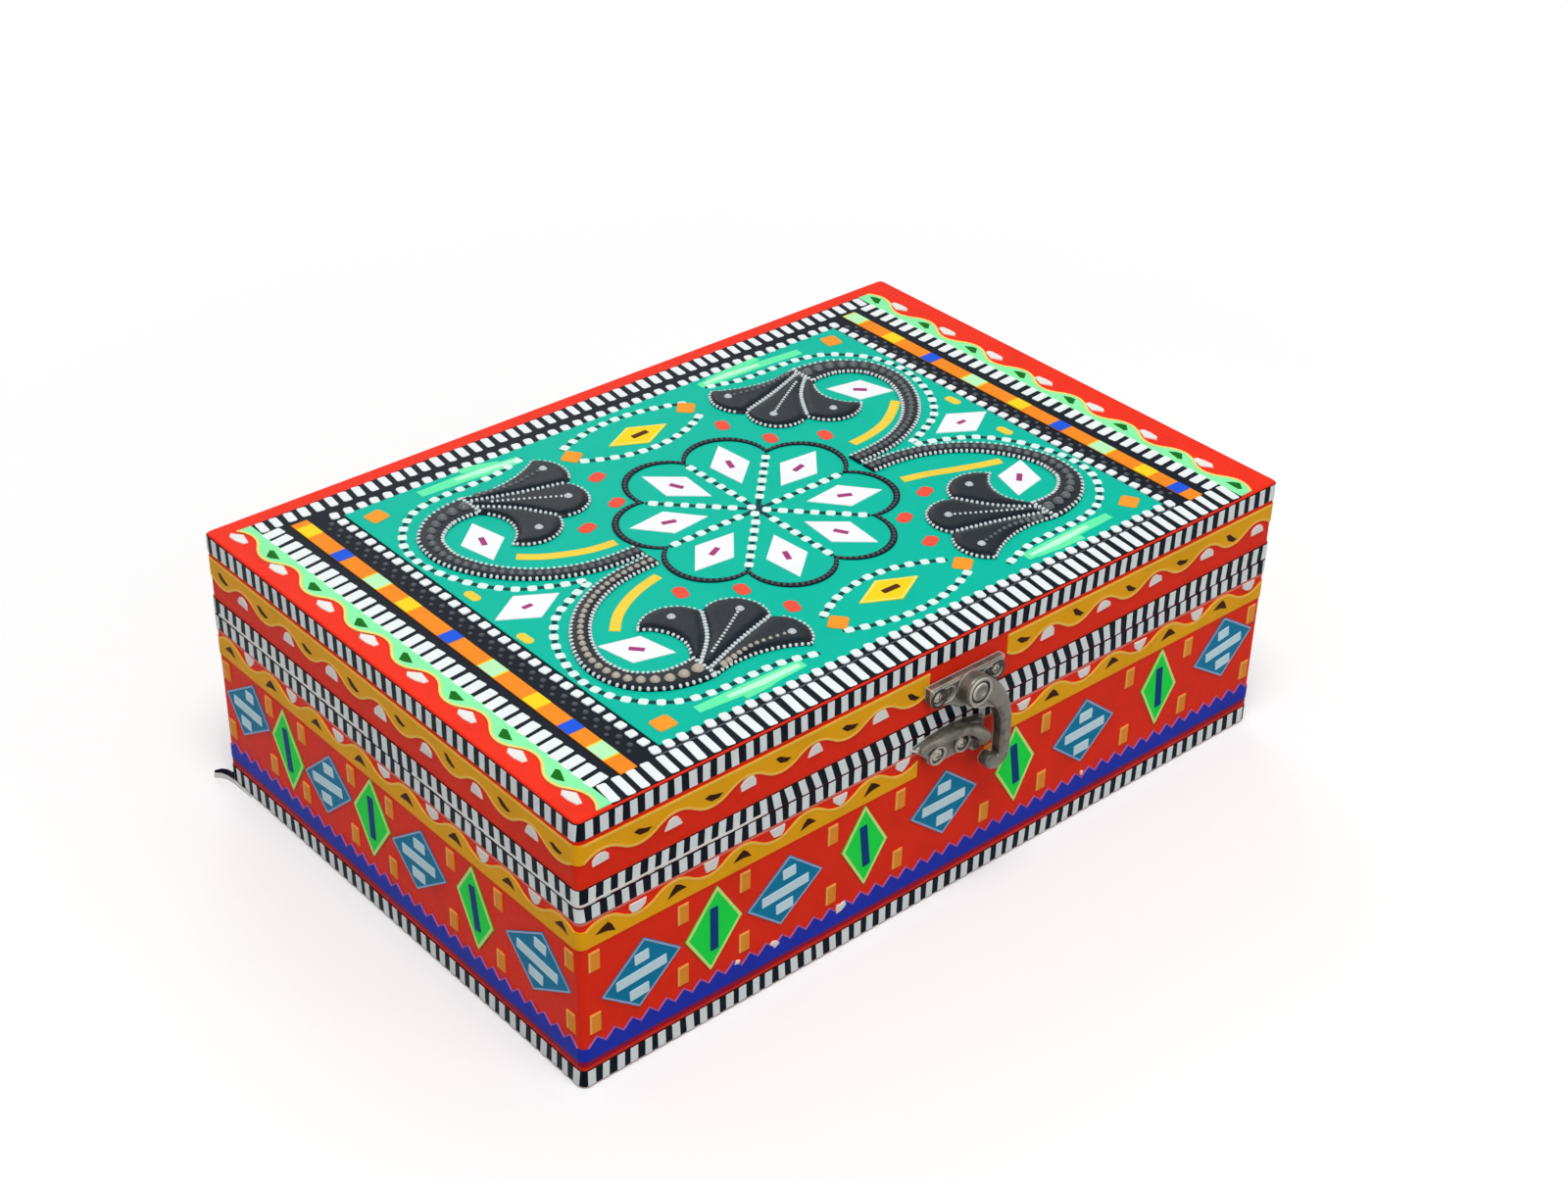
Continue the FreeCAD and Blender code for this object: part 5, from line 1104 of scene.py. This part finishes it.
STROKES = [
    ([(-63.2, 57.2), (-50.0, 57.0), (-40.0, 56.2), (-32.7, 55.8)], [2.4, 3.2, 3.4, 2.6]),
    ([(-48.8, 60.4), (-44.0, 59.2), (-38.0, 57.6)], [1.8, 2.6, 1.6]),
    ([(29.3, 57.6), (40.0, 57.6), (52.0, 56.8), (64.2, 55.9)], [2.2, 3.2, 2.6, 2.4]),
    ([(33.0, 58.6), (42.0, 59.3), (52.0, 60.0)], [1.8, 2.2, 1.8]),
    ([(-68.6, -60.6), (-56.0, -61.3), (-46.0, -61.7), (-37.7, -61.6)], [2.2, 3.0, 3.2, 2.6]),
    ([(-57.0, -63.6), (-50.0, -63.0), (-43.0, -62.2)], [1.6, 2.2, 1.4]),
    ([(35.6, -61.6), (46.0, -61.6), (56.0, -61.0), (66.4, -60.9)], [2.6, 3.2, 2.8, 2.2]),
    ([(38.0, -62.6), (46.0, -63.3), (53.6, -64.0)], [1.6, 2.0, 1.4]),
]
# Paler strokes along the middle of the long mint strokes: painted highlight.
STROKE_HIGHLIGHTS = [[(-52.0, 57.3), (-44.0, 56.9), (-35.0, 56.1)], [(31.0, 57.8), (40.0, 57.8), (50.0, 57.0)],
                 [(-60.0, -61.2), (-50.0, -61.8), (-39.0, -61.8)],
                 [(37.0, -61.8), (46.0, -61.8), (58.0, -61.1)]]
HIGHLIGHT_WIDE = [1.2, 2.2, 1.4]
OUTER_FIRST, STROKE_GROW, SNIP_THICK = 1.2, 1.2, 0.12
OCHRE_WIDE, OCHRE_DASH, OCHRE_LEAN, BRICK_SNIP = 2.7, (5.0, 2.6), math.pi / 2 + 0.05, (5.0, 3.6)
ochre_tape = tape("ochre_tape", (252, 218, 74), 0.25)
spring_tape = tape("spring_tape", (108, 248, 180), 0.2)
spring_highlight = tape("spring_highlight_tape", (196, 255, 224), 0.15)
brick_tape = tape("brick_tape", (252, 88, 66), 0.25)
ground, row_squares = dashed(smooth(OUTER_LINE, 6), OUTER_FIRST, random.Random(61))
grounds = [quarter(ground, *signs) for signs in QUARTERS]
outer_squares = [quarter(square, *signs) for square in row_squares for signs in QUARTERS]
stick("lid_scroll_lines", grounds, on_field(2), deep_teal, "lid")
stick("lid_scroll_squares", outer_squares, on_field(2), misty_tape, "lid")
ochre = [ribbon(smooth(strip, 4), OCHRE_WIDE, SNIP_THICK) for strip in OCHRE_STRIPS]
ochre += [bar(x, y, *OCHRE_DASH, OCHRE_LEAN, 0.3, SNIP_THICK) for x, y in OCHRE_DASHES]
spring = [ribbon(line, [STROKE_GROW * wide for wide in widths], 0.1 + 0.05 * (number % 2))
          for number, (line, widths) in enumerate(STROKES)]
highlight_strokes = [ribbon(line, HIGHLIGHT_WIDE, 0.2) for line in STROKE_HIGHLIGHTS]
brick = [bar(x, y, *BRICK_SNIP, math.radians(turn), 0.26, SNIP_THICK) for x, y, turn in RED_SNIPS]
for name, shapes, material, slot in (("lid_ochre_snips", ochre, ochre_tape, "yellow_tape"),
                                     ("lid_spring_strokes", spring, spring_tape, "mint_tape"),
                                     ("lid_stroke_highlights", highlight_strokes, spring_highlight, "mint_tape"),
                                     ("lid_brick_snips", brick, brick_tape, "orange_tape")):
    stick(name, shapes, on_top(2), material, "lid")

# Latch
# A small cast zinc latch with an antique pewter finish: a plate with a hook on a rivet on the lid, and an
# arched catch with a post on the base. Its edges are lightened, partly by handling and partly as painted
# highlight, and its hollows and places under other parts darkened, partly by dark wash and partly as painted
# shade.

HORN = [(-14.6, 49.7, 1.3, 0.5), (-12.6, 50.1, 1.9, 0.9), (-9.6, 50.6, 2.4, 1.15), (-6.2, 50.9, 2.7, 1.35),
        (-3.0, 50.9, 2.9, 1.4), (-0.6, 50.7, 3.1, 1.4), (1.4, 50.2, 3.6, 1.5), (3.0, 49.3, 4.3, 1.65),
        (4.0, 48.1, 5.0, 1.75), (4.4, 47.1, 5.4, 1.7)]
WEB = [(-2.4, 60.4), (-1.2, 58.6), (1.4, 57.2), (4.6, 56.2), (7.4, 54.8), (9.4, 52.4), (10.8, 54.5),
       (9.6, 58.5), (6.0, 61.2), (0.5, 61.8)]
WEB_FOOT, WEB_THICK, WEB_SHRINK = 3.2, 2.3, 0.6
CATCH_SCREWS, CATCH_FACE = [(-8.3, 45.9), (0.1, 45.9)], 1.6
PLATE_SCREWS, PLATE_FACE = [(-9.4, 63.3), (9.8, 63.3)], 2.4
HOOK_AXIS, EYE_FACE, EYE_SUNK = [(0.2, 63.3)], 6.25, 0.2
# The latch's skin: edges lightened, partly polish and partly painted highlight; hollows and places near other
# parts darkened, partly dark wash and partly painted shade.
cast_metal, where, given = skin("cast_metal", Worn=srgb(244, 240, 228), Plated=srgb(122, 118, 107),
                                Wash=srgb(14, 13, 12), Edge=0.001)
mottle = noise(cast_metal, where, 260.0, 5.0, Roughness=0.65)
pits = noise(cast_metal, where, 1900.0, 3.0)
soft = add(cast_metal, "ShaderNodeBevel", {"Radius": given["Edge"]}, samples=6).outputs["Normal"]
true = add(cast_metal, "ShaderNodeNewGeometry").outputs["Normal"]
facing = add(cast_metal, "ShaderNodeVectorMath", {0: soft, 1: true}, operation="DOT_PRODUCT").outputs["Value"]
# Edges lightened towards the polished colour: partly wear, partly painted highlight.
polish_and_highlight_mask = ramp(cast_metal, facing, (0.78, 1.0), (0.985, 0.0))
# Ambient occlusion darkens hollows and places close under other parts: partly dark wash, partly painted shade.
hollow = add(cast_metal, "ShaderNodeAmbientOcclusion", {"Distance": 0.004}, samples=8).outputs["AO"]
plated = mixed(cast_metal, ramp(cast_metal, mottle, (0.36, 0.3), (0.58, 1.0)), given["Wash"], given["Plated"])
washed_and_shaded = mixed(cast_metal, ramp(cast_metal, hollow, (0.3, 0.0), (0.75, 1.0)), given["Wash"], plated)
give(cast_metal, mixed(cast_metal, polish_and_highlight_mask, washed_and_shaded, given["Worn"]),
     ramp(cast_metal, mottle, (0.35, 0.46), (0.7, 0.26)), pits)

pewter = finish("antique_pewter", cast_metal, 0.35, 0.0003, Metallic=0.28)
# Dark metal for the rings round the screws and the rivet: painted shade in their hollows.
painted_shade_metal = finish("painted_shade_metal", cast_metal, 0.3, 0.0003, {
    "Worn": srgb(70, 64, 56), "Plated": srgb(38, 35, 31)}, Metallic=0.6)
# The screws share the latch's skin: painted highlight on edges and painted shade in hollows.
screw_metal = finish("screw_metal", cast_metal, 0.2, 0.0002, {
    "Worn": srgb(232, 226, 214), "Plated": srgb(186, 176, 162), "Wash": srgb(72, 66, 58), "Edge": 0.0002},
    Metallic=0.85)
dress(pewter, "latch_plate", "latch_hook", "latch_rivet", "latch_catch")
dress(screw_metal, "latch_plate_screws", "latch_catch_screws")


def horn(path, sides=12):
    """A round cast horn along points on the front, each with its distance off the box and its radius."""
    spots = [Vector((x, out, z)) for x, z, out, _ in path]
    rings = []
    for number, (spot, (*_, radius)) in enumerate(zip(spots, path)):
        ahead = (spots[min(number + 1, len(spots) - 1)] - spots[max(number - 1, 0)]).normalized()
        across = ahead.cross(Vector((0, 1, 0))).normalized()
        outwards = across.cross(ahead)
        rings.append([])
        for side in range(sides):
            turn = 2 * math.pi * side / sides
            place = spot + (across * math.cos(turn) + outwards * math.sin(turn)) * radius
            rings[-1].append((place.x, place.z, place.y))
    return loft(rings, foot=True, head=True)


def round_rims(middles, radius, width, thick):
    """A low ring round each of some middles."""
    return [ribbon([(x + radius * math.cos(math.pi * step / 12), y + radius * math.sin(math.pi * step / 12))
                    for step in range(24)], width, thick, closed=True) for x, y in middles]


# The dark rings round the screws and the rivet are painted shade.
for name, shapes, face, material, body in (
        ("latch_catch_horn", [horn(HORN)], 0.0, pewter, "base"),
        ("latch_catch_rims", round_rims(CATCH_SCREWS, 2.35, 0.6, 0.5), CATCH_FACE, pewter, "base"),
        ("latch_catch_shade_rings", round_rims(CATCH_SCREWS, 1.8, 0.7, 0.05), CATCH_FACE, painted_shade_metal, "base"),
        ("latch_plate_hollows", round_rims(PLATE_SCREWS, 2.3, 0.8, 0.04), PLATE_FACE, painted_shade_metal, "lid"),
        ("latch_hook_shade_ring", round_rims(HOOK_AXIS, 2.85, 0.8, 0.04), EYE_FACE, painted_shade_metal, "hook"),
        ("latch_hook_rim", round_rims(HOOK_AXIS, 3.45, 0.7, 0.6), EYE_FACE - EYE_SUNK, pewter, "hook"),
        ("latch_hook_web", [snip(WEB, WEB_THICK, WEB_SHRINK)], WEB_FOOT, pewter, "hook")):
    stick(name, shapes, on_side("front", lift=face), material, body,
          name == "latch_catch_horn")

# Hinges
# Two small butt hinges stamped from plated steel, in the latch's finish but smoother, with its painted
# highlight and shade. Each turns on a pin through its knuckles, and its leaves are screwed to the outside of
# the back.

# The hinges share the latch's skin: painted highlight on edges and painted shade in hollows.
hinge_metal = finish("hinge_metal", cast_metal, 0.15, 0.0002, {
    "Worn": srgb(226, 219, 204), "Plated": srgb(160, 152, 139), "Wash": srgb(92, 85, 75), "Edge": 0.0003},
    Metallic=0.7)
for hinge in ("left", "right"):
    dress(hinge_metal, f"hinge_{hinge}_base_leaf", f"hinge_{hinge}_lid_leaf", f"hinge_{hinge}_pin")
dress(screw_metal, "hinge_base_screws", "hinge_lid_screws")

# Floor and light
# A pale seamless floor that throws little light back and runs out into a white backdrop, and soft studio
# light, most of it from above.

FLOOR_HALF = 6.0
FLOOR_SEEN, FLOOR_BOUNCE, FLOOR_DULL = (0.97, 0.97, 0.97, 1.0), (0.4, 0.4, 0.4, 1.0), 0.9
GLOW_NEAR, GLOW_FAR = (0.3, 0.1), (2.0, 0.6)
WORLD_LIGHT, WORLD_SEEN = 0.37, 1.0
BOX_MIDDLE = Vector((0, 0, 0.04))
floor_mesh = bpy.data.meshes.new("floor")
floor_corners = [(x * FLOOR_HALF, y * FLOOR_HALF, 0) for x, y in ((-1, -1), (1, -1), (1, 1), (-1, 1))]
floor_mesh.from_pydata(floor_corners, [], [(0, 1, 2, 3)])
floor = bpy.data.objects.new("floor", floor_mesh)
bpy.context.scene.collection.objects.link(floor)


def seen_directly(tree):
    """One for rays from the camera, from gloss or through glass, and nought for light that bounces."""
    rays = add(tree, "ShaderNodeLightPath").outputs
    seen = rays["Is Camera Ray"]
    for kind in ("Is Glossy Ray", "Is Transmission Ray"):
        seen = reckon(tree, "MAXIMUM", seen, rays[kind])
    return seen


pale = bpy.data.materials.new("pale_floor")
pale.use_nodes = True
floor_mesh.materials.append(pale)
tree = pale.node_tree
shader = tree.nodes["Principled BSDF"].inputs
seen = seen_directly(tree)
where = add(tree, "ShaderNodeTexCoord").outputs["Object"]
away = add(tree, "ShaderNodeVectorMath", {0: where}, operation="LENGTH").outputs["Value"]
glow = add(tree, "ShaderNodeMapRange", {"Value": away, "From Min": GLOW_NEAR[0], "From Max": GLOW_FAR[0],
                                        "To Min": GLOW_NEAR[1], "To Max": GLOW_FAR[1]}).outputs["Result"]
tree.links.new(mixed(tree, seen, FLOOR_BOUNCE, FLOOR_SEEN), shader["Base Color"])
tree.links.new(reckon(tree, "MULTIPLY", seen, glow), shader["Emission Color"])
shader["Emission Strength"].default_value = 1.0
shader["Roughness"].default_value = FLOOR_DULL

world = bpy.data.worlds.new("studio")
bpy.context.scene.world = world
world.use_nodes = True
tree = world.node_tree
backdrop = tree.nodes["Background"].inputs
backdrop["Color"].default_value = (1, 1, 1, 1)
strength = add(tree, "ShaderNodeMapRange", {
    "Value": seen_directly(tree), "To Min": WORLD_LIGHT, "To Max": WORLD_SEEN}).outputs["Result"]
tree.links.new(strength, backdrop["Strength"])

for name, spot, across, power in (("key", (-0.4, -0.5, 2.0), 1.0, 24.0), ("fill", (0.5, -1.6, 0.9), 0.8, 2.8),
                                  ("back", (0.7, 1.4, 1.2), 1.0, 4.0)):
    light = bpy.data.lights.new(name, "AREA")
    light.shape, light.size, light.energy = "DISK", across, power
    lamp = bpy.data.objects.new(name, light)
    lamp.location = spot
    lamp.rotation_euler = (BOX_MIDDLE - Vector(spot)).to_track_quat("-Z", "Y").to_euler()
    bpy.context.scene.collection.objects.link(lamp)

# Camera
# It stands where the box's corners fall on their places in the picture, with a slight roll. Its distance and
# shifts are in lengths of the box.

AZIMUTH, ELEVATION, ROLL = math.radians(-41.705), math.radians(32.667), math.radians(1.402)
UNIT, DISTANCE, ASIDE, ABOVE = 0.2286, 3.0623, 0.04, 0.1869
FOCAL_PIXELS, IMAGE_WIDTH, SENSOR, NEAREST = 2643.5, 1600, 36.0, 0.01
back = Vector((math.sin(AZIMUTH) * math.cos(ELEVATION), -math.cos(AZIMUTH) * math.cos(ELEVATION),
               math.sin(ELEVATION)))
level = Vector((0, 0, 1)).cross(back).normalized()
upright = back.cross(level)
right = level * math.cos(ROLL) + upright * math.sin(ROLL)
up = upright * math.cos(ROLL) - level * math.sin(ROLL)
camera = bpy.data.objects.new("camera", bpy.data.cameras.new("camera"))
camera.data.sensor_width = SENSOR
camera.data.lens = SENSOR * FOCAL_PIXELS / IMAGE_WIDTH
camera.data.clip_start = NEAREST
camera.matrix_world = Matrix.Translation((back * DISTANCE + right * ASIDE + up * ABOVE) * UNIT) @ Matrix(
    (right, up, back)).transposed().to_4x4()
bpy.context.scene.collection.objects.link(camera)
bpy.context.scene.camera = camera
bpy.context.scene.view_settings.view_transform = "Standard"
